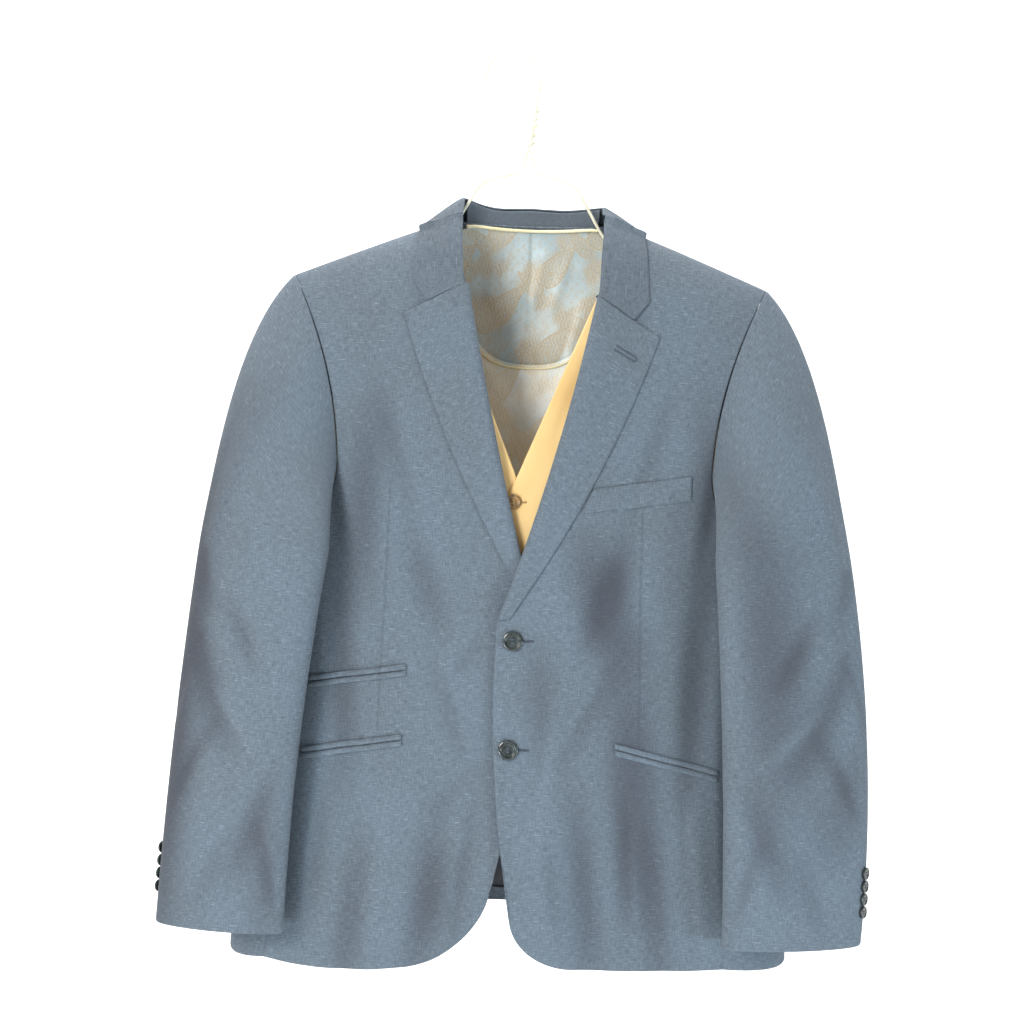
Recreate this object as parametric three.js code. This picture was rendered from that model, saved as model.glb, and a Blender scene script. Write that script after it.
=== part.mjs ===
// Single-breasted blazer worn over a waistcoat, both on a wire hanger.
// Millimetres, +Z up, origin under the top of the hanger's hook. The garment faces -Y.
// Side +1 is the wearer's left, which lies at +X; side -1 is the wearer's right.
import * as THREE from 'three';

// ---------- driving dimensions ----------
const SUIT_WALL = 2;
const SATIN_WALL = 1.2;
const SEAM_GAP = 0.3;
const LEAN_DEGREES = 2;
const GARMENT_PLACE = new THREE.Vector3(19.4, 0, -171.4);

const SIDE_POWER = 0.8;
const RIDGE = { top: 40.4, slope: 0.42, round: 60 };
const SHOULDER_FALL = { front: 120, back: 110 };
const NECK_HALF = 82;
const SHOULDER_HALF = 240;
const HEM_BACK = -706;
const BACK_NECK = -2;
const SIDE_HEM_SAG = 16;
// The left front laps over the right one: how far each stands off the body near the middle.
const LAP = { left: 5.5, right: -1.6, full: 30, gone: 120 };

// Faces of each wall across and up; rows of the long pieces crowd towards the shoulder.
const GRID = {
  front: [14, 22], side: [6, 12], back: [10, 17], sleeveRows: 17, underSleeve: 8, lapel: [7, 16],
  collarRows: 32, stand: [2, 20], pocket: 10, lining: [14, 13], waistcoatFront: [9, 15],
  waistcoatBack: [14, 11],
};
const CROWDING = 1.5;
// Small steps, in degrees, millimetres and shares, across which a face's slope is taken.
const SLOPE_STEP = { turn: 0.3, up: 0.5, nearRidge: 0.6, sleeveTurn: 1.5, sleeveDown: 0.01, button: 2 };
// Share of the rows of a panel that lies below the break, the armhole or the neck point.
const ROW_SHARES = { edge: 0.4, frontSide: 0.62, backSide: 0.64, backNeck: 0.34 };

// Half width and depths of the hanging body at each height.
const BODY = [
  { z: 60, half: 290, front: 50, back: 44 },
  { z: -80, half: 288, front: 54, back: 48 },
  { z: -200, half: 279, front: 60, back: 52 },
  { z: -315, half: 264, front: 64, back: 54 },
  { z: -430, half: 258, front: 62, back: 52 },
  { z: -560, half: 271, front: 64, back: 54 },
  { z: -770, half: 284, front: 68, back: 58 },
];

// Largest folds: soft troughs from one end to the other, half width and depth.
const FOLDS = {
  front: [
    { x0: 118, z0: -300, x1: 58, z1: -450, wide: 26, deep: 4 },
    { x0: 182, z0: -320, x1: 172, z1: -620, wide: 24, deep: 5 },
    { x0: 58, z0: -545, x1: 88, z1: -790, wide: 28, deep: 5 },
    { x0: 132, z0: -590, x1: 158, z1: -800, wide: 26, deep: 4 },
    { x0: -120, z0: -300, x1: -68, z1: -440, wide: 26, deep: 3.5 },
    { x0: -180, z0: -330, x1: -168, z1: -610, wide: 24, deep: 5 },
    { x0: -72, z0: -560, x1: -98, z1: -800, wide: 28, deep: 4.5 },
    { x0: -148, z0: -600, x1: -168, z1: -810, wide: 26, deep: 4 },
  ],
  back: [
    { x0: 66, z0: -150, x1: 48, z1: -520, wide: 30, deep: 4.5 },
    { x0: -74, z0: -190, x1: -52, z1: -600, wide: 30, deep: 4 },
    { x0: 150, z0: -220, x1: 138, z1: -640, wide: 32, deep: 5 },
    { x0: -156, z0: -180, x1: -140, z1: -560, wide: 32, deep: 5 },
    { x0: 92, z0: -500, x1: 104, z1: -780, wide: 30, deep: 4 },
    { x0: -96, z0: -520, x1: -110, z1: -790, wide: 30, deep: 4 },
  ],
};

// Cut of each front, in side coordinates: x runs outward from the middle.
// The edge bows from the break of the lapel to the quarter round, then the hem sags to the side seam.
const FRONT_CUT = {
  left: {
    breakAt: { x: -22, z: -405 }, quarterFrom: { x: -1, z: -690 }, edgeBow: -9,
    quarter: { across: 71, tall: 56, squareness: 2.2 }, hemEnd: { x: 214, z: -745.5 }, hemSag: -1,
  },
  right: {
    breakAt: { x: -9, z: -375 }, quarterFrom: { x: 20, z: -670 }, edgeBow: -13,
    quarter: { across: 88, tall: 81, squareness: 1.7 }, hemEnd: { x: 244, z: -750.5 }, hemSag: -5,
  },
};
// Each lapel rolls along a bowed line from the break to the gorge; its edge bellies out to the tip.
const LAPEL = {
  left: {
    gorge: { x: 65, z: -83 }, rollBow: 6.5,
    foot: { x: -10, z: -404 }, tip: { x: 129, z: -121 }, belly: 12,
  },
  right: {
    gorge: { x: 61, z: -72.5 }, rollBow: 3,
    foot: { x: 4, z: -372 }, tip: { x: 124.5, z: -104.5 }, belly: 9,
  },
};
// The front runs on under the lapel, a little inside the roll.
const ROLL_INSET = { deep: 4, startsBy: 6 };
// A rolled edge rests on the cloth, swells beside its roll, and lies flat again towards its edge.
const ROLL = {
  clear: 1.1, tall: 5, perWidth: 0.12, turn: 8, settle: [0.1, 0.95], sink: 1.5, narrow: [14, 44],
};
const LAPEL_CROWDING = 1.7;
const NECK_FRONT = { x: 75, z: -30 };
const SIDE_SEAM = { top: { x: 205, z: -303 }, waist: { x: 211, z: -430 } };
const BACK_SEAM = { top: { x: 212, z: -285 }, waist: { x: 210, z: -430 }, hem: { x: 225, z: HEM_BACK } };

// Each half of the armhole curves out from its innermost place, up to the shoulder and down to the side body.
const ARMHOLE = { front: { inner: 187, at: -258 }, back: { inner: 208, at: -250 } };
const ARMHOLE_FLOOR = -318;
const ARMHOLE_SAG = (SIDE_SEAM.top.z + BACK_SEAM.top.z) / 2 - ARMHOLE_FLOOR;
const ARMHOLE_STEPS = { half: 10, ring: 60, shortest: 0.01 };

// Sleeves as seen from in front, between the armpit and the cuff: outer and inner edge, middle depth,
// half thickness and turn in plan; both edges bow outward on the way down.
const SLEEVE = {
  left: {
    top: { z: -345, outer: 328, inner: 188, y: -71, deep: 32, turn: 20 },
    cuff: { z: -716, outer: 350, inner: 208, y: -63, deep: 23, turn: 15 },
    bow: { outer: 11.5, inner: 3.5 },
  },
  right: {
    top: { z: -345, outer: 320.5, inner: 188, y: -68, deep: 32, turn: 20 },
    cuff: { z: -716, outer: 350.5, inner: 220, y: -63, deep: 23, turn: 15 },
    bow: { outer: 3, inner: 6 },
  },
};
// How each place round the armhole leaves it, and which place of the hanging sleeve it meets.
// The turn is 0 at the shoulder point, 90 in front, 180 under the arm and 270 behind.
const SLEEVE_HEAD = [
  { turn: 0, meets: 0, x: 0.72, y: 0, z: -0.69 },
  { turn: 50, meets: 42, x: 0.72, y: -0.5, z: -0.48 },
  { turn: 95, meets: 96, x: 0.55, y: -0.78, z: -0.3 },
  { turn: 119, meets: 168, x: 0.06, y: -0.75, z: -0.65 },
  { turn: 148, meets: 215, x: 0.25, y: -0.96, z: -0.1 },
  { turn: 184, meets: 280, x: 1, y: -0.2, z: 0 },
  { turn: 222, meets: 316, x: 0.95, y: 0.3, z: -0.1 },
  { turn: 290, meets: 336, x: 0.82, y: 0.4, z: -0.4 },
  { turn: 360, meets: 360, x: 0.72, y: 0, z: -0.69 },
];
// Sleeve seams by place round the sleeve, halfway between the armhole's turn and the section's.
// The seam in front is straight; the one behind swings outward on its way to the cuff.
const SLEEVE_SEAM = { fore: 187, hindTop: -36, hindCuff: { left: 8, right: -20 }, swungBy: 0.6 };
// Columns of the top sleeve behind and in front of the shoulder point, closest together there.
const TOP_SLEEVE_COLUMNS = { behind: 4, before: 12, crowding: 1.5 };
// The head takes this share of a sleeve's rows, starts clear of the armhole and is this full.
const HEAD = { share: 0.42, clear: SEAM_GAP * 3, fullness: 0.8, wrapsAt: 320, straight: 6 };
const CUFF_BUTTON_AT = { left: 22, right: -6 };
const SLEEVE_FOLDS = [
  { turn: 70, z0: -400, z1: -560, swing: 60, wide: 26, deep: 5 },
  { turn: 120, z0: -540, z1: -690, swing: -50, wide: 24, deep: 4 },
  { turn: 40, z0: -300, z1: -420, swing: 50, wide: 24, deep: 3.5 },
  { turn: 250, z0: -420, z1: -600, swing: 30, wide: 30, deep: 4 },
];

// Collar, from the gorge to the middle of the back: fold line, and outer edge on the body.
const COLLAR = [
  { at: 0, foldX: 64, foldZ: -76, foldY: -50, edgeX: 118, edgeZ: -76, behind: 0 },
  { at: 0.16, foldX: 68.5, foldZ: -45, foldY: -43, edgeX: 116, edgeZ: -47, behind: 0 },
  { at: 0.32, foldX: 70.5, foldZ: -13, foldY: -27, edgeX: 113, edgeZ: -21, behind: 0 },
  { at: 0.5, foldX: 70, foldZ: 16.5, foldY: 1, edgeX: 112, edgeZ: -13, behind: 0.5 },
  { at: 0.66, foldX: 60, foldZ: 17.5, foldY: 17, edgeX: 97, edgeZ: -20, behind: 1 },
  { at: 0.84, foldX: 34, foldZ: 16.5, foldY: 28, edgeX: 54, edgeZ: -30, behind: 1 },
  { at: 1, foldX: 0, foldZ: 18, foldY: 32, edgeX: 0, edgeZ: -33, behind: 1 },
];
// The collar stands up beside the neck, more on the wearer's right, and arches out over its fall.
const COLLAR_PEAK = { at: 0.5, reach: 0.34, left: 0, right: 5 };
const COLLAR_ARCH = 2.7;
const COLLAR_FRONT = -20;
// Its end lies along the top of the lapel as far as the notch, then turns up to its corner.
const COLLAR_END = { notch: 0.7, reach: 0.2, gap: 0.7, cornerZ: { left: -85, right: -68 } };
const COLLAR_SHARES = [0, 0.07, 0.18, 0.42, COLLAR_END.notch, 0.86, 1];
const COLLAR_REST = SUIT_WALL + 1.6;
const STAND = { reach: 0.45, inside: 3.2, under: 3.6, wall: 1.6, clear: 0.9, sunk: 0.4 };

// Pockets on the fronts: near end of the top edge, width across and drop to the far end.
const JET = { tall: 5.2, pitch: 6.5, wall: 1.5, lift: 2.9 };
// The slanted near end of the breast welt meets the edge of the lapel.
const BREAST_WELT = { side: 1, x: 68.5, z: -273, across: 97.5, drop: -16, tall: 25, slant: 11.5 };
const JETTED_POCKETS = {
  ticket: { side: -1, x: 110, z: -452, across: 97, drop: 16 },
  hip_right: { side: -1, x: 112, z: -521, across: 100, drop: 18 },
  hip_left: { side: 1, x: 98, z: -523, across: 104, drop: 25 },
};

// Lining of the back: how far it stops short of the hem, neck and shoulders, and its half width.
const LINING = {
  hemRise: 14, neckDrop: 2, underRidge: 8, depth: SUIT_WALL + 2.4,
  half: [{ z: 0, x: NECK_HALF - 4 }, { z: -40, x: 130 }, { z: -110, x: 206 }, { z: -250, x: 200 },
    { z: -430, x: 202 }, { z: -700, x: 214 }],
};
const NECK_PIPING = { half: 70, drop: 3.5, behind: SATIN_WALL + 2.4 };
const WAISTCOAT_PIPING = { half: 66, drop: 4, behind: SATIN_WALL + 2.6 };
const PIPING = { radius: 1.1, sides: 6, steps: 16 };

const WAISTCOAT = {
  lift: -10, middle: -7.5, vHalf: 104.5, shoulderHalf: 152, vPoint: -265, vSlant: 2.33,
  point: -600, pointX: 38, pointRise: 46, sideHem: -548, edge: { left: 17, right: 7 },
  waist: { x: 248, z: -430 }, sideFront: 262, sideBack: 252, hemKnee: { x: 150, drop: 6 },
  armhole: {
    frontFoot: 256, backFoot: 250, floor: -345, inner: 160, innerAt: -195, knee: 33, kneeShare: 0.35,
  },
};
const WAISTCOAT_LAP = { deep: 3, full: 18, gone: 50 };
const WAISTCOAT_NECK = { z: -144, squareness: 3 };
const WAISTCOAT_BUTTONS = { count: 5, top: -288, pitch: 62, radius: 7.5, x: -10 };
const FRONT_BUTTONS = [{ x: -6, z: -425 }, { x: -7, z: -532 }];
const FRONT_BUTTON_RADIUS = 10;
const CUFF_BUTTONS = { count: 4, bottom: -682, pitch: 12.8, radius: 6.2 };
const BUTTON_GAPS = { front: 0.6, waistcoat: 0.5, cuff: 0.9 };
// Section of a button from its middle out, as shares of its radius and of its thickness.
const BUTTON = { thickness: 0.3, foot: 0.8, brim: 0.5, rimOut: 0.86, rimIn: 0.66, dish: 0.7, sides: 12 };

const WIRE = { radius: 1.5, sides: 8 };
// The hook is most of a circle that runs on straight down to the twisted neck.
const HOOK = { radius: 28, endTurn: 184, lowTurn: -9, step: 14, foot: { x: 16.6, z: -99 } };
// Bends of one arm, from the neck's foot outward: place off the hanger's middle and how round it is.
const ARM_MIDDLE = -6;
const ARM_BENDS = [
  { x: 2.6, z: 70, round: 2.6 },
  { x: 6, z: 48, round: 7 },
  { x: 47, z: 38.5, round: 14 },
  { x: 66, z: 5, round: 12 },
  { x: 82.5, z: -23, round: 18 },
];
const ARM_TIP = { x: 222, underRidge: 17.5 };
const BEND_STEPS = 4;

const COLOURS = {
  suit: { color: 0x8593a1, roughness: 0.9, metalness: 0 },
  lining: { color: 0xb9c3be, roughness: 0.45, metalness: 0 },
  piping: { color: 0xe8d9a6, roughness: 0.6, metalness: 0 },
  tan: { color: 0xf0c98a, roughness: 0.85, metalness: 0 },
  satin: { color: 0xb4beb8, roughness: 0.4, metalness: 0 },
  darkHorn: { color: 0x1d2422, roughness: 0.25, metalness: 0 },
  brownHorn: { color: 0x9a7742, roughness: 0.35, metalness: 0 },
  wire: { color: 0xefe9d8, roughness: 0.35, metalness: 0 },
};

// ---------- small maths ----------
const radians = THREE.MathUtils.degToRad;
const clamp = THREE.MathUtils.clamp;
const lerp = THREE.MathUtils.lerp;
const sideName = (side) => (side > 0 ? 'left' : 'right');

// Value of one column of a table at a place along its key column, without overshoot.
function along(table, key, at, column) {
  const last = table.length - 1;
  const rising = table[last][key] > table[0][key];
  let i = 0;
  while (i < last - 1 && (rising ? at > table[i + 1][key] : at < table[i + 1][key])) {
    i += 1;
  }
  const slope = (p, q) => (q[column] - p[column]) / (q[key] - p[key]);
  const shared = (m, n) => (m * n > 0 ? (2 * m * n) / (m + n) : 0);
  const a = table[i];
  const b = table[i + 1];
  const here = slope(a, b);
  const m0 = i > 0 ? shared(slope(table[i - 1], a), here) : here;
  const m1 = i < last - 1 ? shared(here, slope(b, table[i + 2])) : here;
  const span = b[key] - a[key];
  const t = clamp((at - a[key]) / span, 0, 1);
  const t2 = t * t;
  const t3 = t2 * t;
  return (2 * t3 - 3 * t2 + 1) * a[column] + (t3 - 2 * t2 + t) * span * m0
    + (3 * t2 - 2 * t3) * b[column] + (t3 - t2) * span * m1;
}

// A flat path through rows of x and z, walked from 0 to 1 by length.
function pathOf(rows) {
  let total = 0;
  const walked = rows.map((row, i) => {
    total += i > 0 ? Math.hypot(row.x - rows[i - 1].x, row.z - rows[i - 1].z) : 0;
    return { x: row.x, z: row.z, at: total };
  });
  return (t) => ({
    x: along(walked, 'at', t * total, 'x'),
    z: along(walked, 'at', t * total, 'z'),
  });
}

// Two paths walked as one, with the join at a given share of the way.
const joined = (first, second, share) => (t) => (
  t < share ? first(t / share) : second((t - share) / (1 - share))
);

// Surface patch between four edge paths: foot and head run in u, near and far run in v.
function patch(foot, head, near, far) {
  const mix = (u, v, key) => (
    (1 - v) * foot(u)[key] + v * head(u)[key] + (1 - u) * near(v)[key] + u * far(v)[key]
    - (1 - u) * (1 - v) * foot(0)[key] - u * (1 - v) * foot(1)[key]
    - (1 - u) * v * head(0)[key] - u * v * head(1)[key]
  );
  return (u, v) => ({ x: mix(u, v, 'x'), z: mix(u, v, 'z') });
}

const smooth = (from, to, at) => THREE.MathUtils.smoothstep(at, from, to);

// A line between two places that bows aside most at its middle.
const bowed = (from, to, bowX, bowZ = 0) => (t) => ({
  x: lerp(from.x, to.x, t) + 4 * t * (1 - t) * bowX,
  z: lerp(from.z, to.z, t) + 4 * t * (1 - t) * bowZ,
});

// Evenly spaced rows of a path, both ends included.
function rowsOf(path, count) {
  return Array.from({ length: count + 1 }, (_, k) => path(k / count));
}

// ---------- the hanging body ----------
const ridge = (x) => RIDGE.top - RIDGE.slope * Math.hypot(x, RIDGE.round);

function rounded(u) {
  const inside = 1 - clamp(u, 0, 1);
  return Math.sqrt(1 - inside * inside);
}

function foldDepth(folds, x, z) {
  let depth = 0;
  for (const fold of folds) {
    const runX = fold.x1 - fold.x0;
    const runZ = fold.z1 - fold.z0;
    const t = ((x - fold.x0) * runX + (z - fold.z0) * runZ) / (runX * runX + runZ * runZ);
    const off = Math.hypot(x - fold.x0 - t * runX, z - fold.z0 - t * runZ) / fold.wide;
    if (t > 0 && t < 1 && off < 1) {
      const across = Math.cos((off * Math.PI) / 2) ** 2;
      depth += fold.deep * across * Math.sin(t * Math.PI);
    }
  }
  return depth;
}

// Outer face of the jacket at an angle round the body: 0 in front, 90 at the side, 180 behind.
function bodyFace(angle, z) {
  const turn = radians(angle);
  const face = Math.abs(angle) <= 90 ? 'front' : 'back';
  const sign = face === 'front' ? -1 : 1;
  const x = along(BODY, 'z', z, 'half') * Math.sin(turn);
  const fall = rounded((ridge(x) - z) / SHOULDER_FALL[face]);
  const flat = Math.abs(Math.cos(turn)) ** SIDE_POWER;
  const depth = along(BODY, 'z', z, face) * flat * fall - foldDepth(FOLDS[face], x, z) * flat * fall;
  return new THREE.Vector3(x, sign * depth, z);
}

function bodyNormal(angle, z) {
  const x = along(BODY, 'z', z, 'half') * Math.sin(radians(angle));
  if (ridge(x) - z < SLOPE_STEP.nearRidge) {
    const fall = (RIDGE.slope * x) / Math.hypot(x, RIDGE.round);
    return new THREE.Vector3(fall, 0, 1).normalize();
  }
  const { turn, up: rise } = SLOPE_STEP;
  const round = bodyFace(angle + turn, z).sub(bodyFace(angle - turn, z));
  const up = bodyFace(angle, z + rise).sub(bodyFace(angle, z - rise));
  return round.cross(up).normalize();
}

function onBody(angle, z, lift = 0) {
  const n = bodyNormal(angle, z);
  return { p: bodyFace(angle, z).addScaledVector(n, lift), n };
}

function angleAt(x, z, behind = false) {
  const share = clamp(x / along(BODY, 'z', z, 'half'), -1, 1);
  const angle = THREE.MathUtils.radToDeg(Math.asin(share));
  return behind ? (x >= 0 ? 180 : -180) - angle : angle;
}

function lap(side, x) {
  return LAP[sideName(side)] * (1 - smooth(LAP.full, LAP.gone, Math.abs(x)));
}

const onFront = (x, z, lift = 0) => onBody(angleAt(x, z), z, lift);
const onBack = (x, z, lift = 0) => onBody(angleAt(x, z, true), z, lift);

// ---------- cloth walls ----------
function gridOf([acrossCount, upCount], pointAt, upShare = (v) => v) {
  const rows = [];
  for (let j = 0; j <= upCount; j += 1) {
    const row = [];
    for (let i = 0; i <= acrossCount; i += 1) {
      row.push(pointAt(i / acrossCount, upShare(j / upCount)));
    }
    rows.push(row);
  }
  return rows;
}

// Normals of a grid from its own points, turned to agree with a rough outward direction.
function withNormals(rows, outward) {
  const last = rows.length - 1;
  const end = rows[0].length - 1;
  return rows.map((row, j) => row.map((p, i) => {
    const across = row[Math.min(i + 1, end)].clone().sub(row[Math.max(i - 1, 0)]);
    const up = rows[Math.min(j + 1, last)][i].clone().sub(rows[Math.max(j - 1, 0)][i]);
    const n = across.cross(up).normalize();
    return { p, n: n.dot(outward(p)) < 0 ? n.negate() : n };
  }));
}

// Draws the border in by half a seam gap, so that neighbours stand a whole gap apart.
function eased(rows) {
  const last = rows.length - 1;
  const end = rows[0].length - 1;
  const out = rows.map((row) => row.map((cell) => ({ p: cell.p.clone(), n: cell.n })));
  const draw = (cell, toward) => {
    const step = toward.clone().sub(cell.p);
    cell.p.addScaledVector(step.normalize(), SEAM_GAP / 2);
  };
  for (let j = 0; j <= last; j += 1) {
    draw(out[j][0], rows[j][1].p);
    draw(out[j][end], rows[j][end - 1].p);
  }
  for (let i = 0; i <= end; i += 1) {
    draw(out[0][i], rows[1][i].p);
    draw(out[last][i], rows[last - 1][i].p);
  }
  return out;
}

function meshOf(name, positions, faces, finish) {
  const geometry = new THREE.BufferGeometry();
  geometry.setAttribute('position', new THREE.Float32BufferAttribute(positions.flat(), 3));
  geometry.setIndex(faces.flat());
  geometry.computeVertexNormals();
  const mesh = new THREE.Mesh(geometry, new THREE.MeshStandardMaterial(finish));
  mesh.name = name;
  return mesh;
}

// Closed wall: the grid is the outer face, the inner face lies one wall behind it.
function cloth(name, cells, wall, finish) {
  const rows = eased(cells);
  const wide = rows[0].length;
  const tall = rows.length;
  const outer = rows.flat().map(({ p }) => p.toArray());
  const inner = rows.flat().map(({ p, n }) => p.clone().addScaledVector(n, -wall).toArray());
  const count = wide * tall;
  const faces = [];
  const quad = (a, b, c, d) => faces.push([a, b, c], [a, c, d]);
  for (let j = 0; j < tall - 1; j += 1) {
    for (let i = 0; i < wide - 1; i += 1) {
      const a = j * wide + i;
      quad(a, a + 1, a + 1 + wide, a + wide);
      quad(a + count, a + wide + count, a + 1 + wide + count, a + 1 + count);
    }
  }
  const border = [];
  for (let i = 0; i < wide - 1; i += 1) border.push(i);
  for (let j = 0; j < tall - 1; j += 1) border.push(j * wide + wide - 1);
  for (let i = wide - 1; i > 0; i -= 1) border.push((tall - 1) * wide + i);
  for (let j = tall - 1; j > 0; j -= 1) border.push(j * wide);
  border.forEach((a, k) => {
    const b = border[(k + 1) % border.length];
    quad(b, a, a + count, b + count);
  });
  const middle = rows[Math.floor(tall / 2)][Math.floor(wide / 2)];
  const beside = rows[Math.floor(tall / 2)][Math.floor(wide / 2) - 1];
  const below = rows[Math.floor(tall / 2) - 1][Math.floor(wide / 2)];
  const facing = middle.p.clone().sub(beside.p).cross(middle.p.clone().sub(below.p));
  const turned = facing.dot(middle.n) < 0 ? faces.map(([a, b, c]) => [a, c, b]) : faces;
  return meshOf(name, [...outer, ...inner], turned, finish);
}

// ---------- jacket body ----------
const crowded = (v) => 1 - (1 - v) ** CROWDING;

const rollLine = (key, inset = { deep: 0, startsBy: 1 }) => {
  const { breakAt } = FRONT_CUT[key];
  const { gorge, rollBow } = LAPEL[key];
  const line = bowed(breakAt, gorge, rollBow);
  return (t) => ({ x: line(t).x + inset.deep * Math.min(1, inset.startsBy * t), z: line(t).z });
};

// Quarter round at the foot of the front edge, then the hem as far as the side seam.
function frontHem(key) {
  const { quarterFrom, quarter, hemEnd, hemSag } = FRONT_CUT[key];
  const power = 2 / quarter.squareness;
  const round = (t) => ({
    x: quarterFrom.x + quarter.across * (1 - Math.cos((t * Math.PI) / 2) ** power),
    z: quarterFrom.z - quarter.tall * Math.sin((t * Math.PI) / 2) ** power,
  });
  const quarterTo = { x: quarterFrom.x + quarter.across, z: quarterFrom.z - quarter.tall };
  const level = bowed(quarterTo, hemEnd, 0, hemSag);
  return pathOf([...rowsOf(round, 6), ...rowsOf(level, 3).slice(1)]);
}

// Half of the armhole from its foot on the side body to the shoulder point.
function armholeHalf(face) {
  const { inner, at } = ARMHOLE[face];
  const foot = face === 'front' ? SIDE_SEAM.top : BACK_SEAM.top;
  const head = ridge(SHOULDER_HALF);
  return pathOf(rowsOf((t) => {
    const z = lerp(foot.z, head, t);
    const end = z < at ? foot : { x: SHOULDER_HALF, z: head };
    return { x: inner + (end.x - inner) * ((z - at) / (end.z - at)) ** 2, z };
  }, ARMHOLE_STEPS.half));
}

const sideSeam = (key) => pathOf([FRONT_CUT[key].hemEnd, SIDE_SEAM.waist, SIDE_SEAM.top]);
const backSeam = pathOf([BACK_SEAM.hem, BACK_SEAM.waist, BACK_SEAM.top]);

const shoulderLine = (u) => {
  const x = lerp(NECK_HALF, SHOULDER_HALF, u);
  return { x, z: ridge(x) };
};

function frontOutline(side) {
  const key = sideName(side);
  const { breakAt, quarterFrom, edgeBow } = FRONT_CUT[key];
  const neckPoint = { x: NECK_HALF, z: ridge(NECK_HALF) };
  const roll = pathOf([...rowsOf(rollLine(key, ROLL_INSET), 8), NECK_FRONT, neckPoint]);
  const near = joined(bowed(quarterFrom, breakAt, edgeBow), roll, ROW_SHARES.edge);
  const far = joined(sideSeam(key), armholeHalf('front'), ROW_SHARES.frontSide);
  return patch(frontHem(key), shoulderLine, near, far);
}

function jacketFront(side) {
  const spot = frontOutline(side);
  const cells = gridOf(GRID.front, (u, v) => {
    const { x, z } = spot(u, v);
    return onFront(side * x, Math.min(z, ridge(x)), lap(side, x));
  }, crowded);
  return cloth(`jacket_front_${sideName(side)}`, cells, SUIT_WALL, COLOURS.suit);
}

function jacketSide(side) {
  const seam = sideSeam(sideName(side));
  const near = (v) => ({ x: angleAt(seam(v).x, seam(v).z), z: seam(v).z });
  const far = (v) => ({ x: angleAt(backSeam(v).x, backSeam(v).z, true), z: backSeam(v).z });
  const span = (v) => (u) => ({
    x: lerp(near(v).x, far(v).x, u),
    z: lerp(near(v).z, far(v).z, u),
  });
  const floor = (u) => ({
    x: span(1)(u).x,
    z: span(1)(u).z - 4 * u * (1 - u) * ARMHOLE_SAG,
  });
  const hem = (u) => ({ x: span(0)(u).x, z: span(0)(u).z - 4 * u * (1 - u) * SIDE_HEM_SAG });
  const spot = patch(hem, floor, near, far);
  const cells = gridOf(GRID.side, (u, v) => onBody(side * spot(u, v).x, spot(u, v).z));
  return cloth(`jacket_side_${sideName(side)}`, cells, SUIT_WALL, COLOURS.suit);
}

const backNeckZ = (x) => lerp(BACK_NECK, ridge(NECK_HALF), (Math.abs(x) / NECK_HALF) ** 3);
const backNeckLine = (u) => ({ x: u * NECK_HALF, z: backNeckZ(u * NECK_HALF) });

function jacketBack(side) {
  const hem = (u) => ({ x: u * BACK_SEAM.hem.x, z: HEM_BACK });
  const middle = (v) => ({ x: 0, z: lerp(HEM_BACK, BACK_NECK, v) });
  const head = joined(backNeckLine, shoulderLine, ROW_SHARES.backNeck);
  const spot = patch(hem, head, middle, joined(backSeam, armholeHalf('back'), ROW_SHARES.backSide));
  const cells = gridOf(GRID.back, (u, v) => {
    const { x, z } = spot(u, v);
    return onBack(side * x, Math.min(z, ridge(x)));
  }, crowded);
  return cloth(`jacket_back_${sideName(side)}`, cells, SUIT_WALL, COLOURS.suit);
}

// ---------- sleeves ----------
// The armhole as one closed line, walked by its true length from the shoulder point.
function armholeRing(side) {
  const front = armholeHalf('front');
  const back = armholeHalf('back');
  const frontEnd = { x: angleAt(SIDE_SEAM.top.x, SIDE_SEAM.top.z), z: SIDE_SEAM.top.z };
  const backEnd = { x: angleAt(BACK_SEAM.top.x, BACK_SEAM.top.z, true), z: BACK_SEAM.top.z };
  const walked = [];
  const take = (angle, z) => {
    const x = along(BODY, 'z', z, 'half') * Math.sin(radians(angle));
    const { p } = onBody(side * angle, Math.min(z, ridge(x)));
    const last = walked.at(-1);
    const at = last ? last.at + Math.hypot(p.x - last.x, p.y - last.y, p.z - last.z) : 0;
    if (!last || at > last.at + ARMHOLE_STEPS.shortest) {
      walked.push({ x: p.x, y: p.y, z: p.z, at });
    }
  };
  const steps = ARMHOLE_STEPS.ring;
  for (let k = 0; k <= steps; k += 1) {
    const { x, z } = front(1 - (k / steps) ** 2);
    take(angleAt(x, z), z);
  }
  for (let k = 1; k < steps; k += 1) {
    const u = k / steps;
    const z = lerp(frontEnd.z, backEnd.z, u) - 4 * u * (1 - u) * ARMHOLE_SAG;
    take(lerp(frontEnd.x, backEnd.x, u), z);
  }
  for (let k = 0; k <= steps; k += 1) {
    const { x, z } = back(1 - (1 - k / steps) ** 2);
    take(angleAt(x, z, true), z);
  }
  const total = walked.at(-1).at;
  return (turn) => {
    const at = ((((turn % 360) + 360) % 360) / 360) * total;
    return new THREE.Vector3(
      along(walked, 'at', at, 'x'),
      along(walked, 'at', at, 'y'),
      along(walked, 'at', at, 'z'),
    );
  };
}

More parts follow.
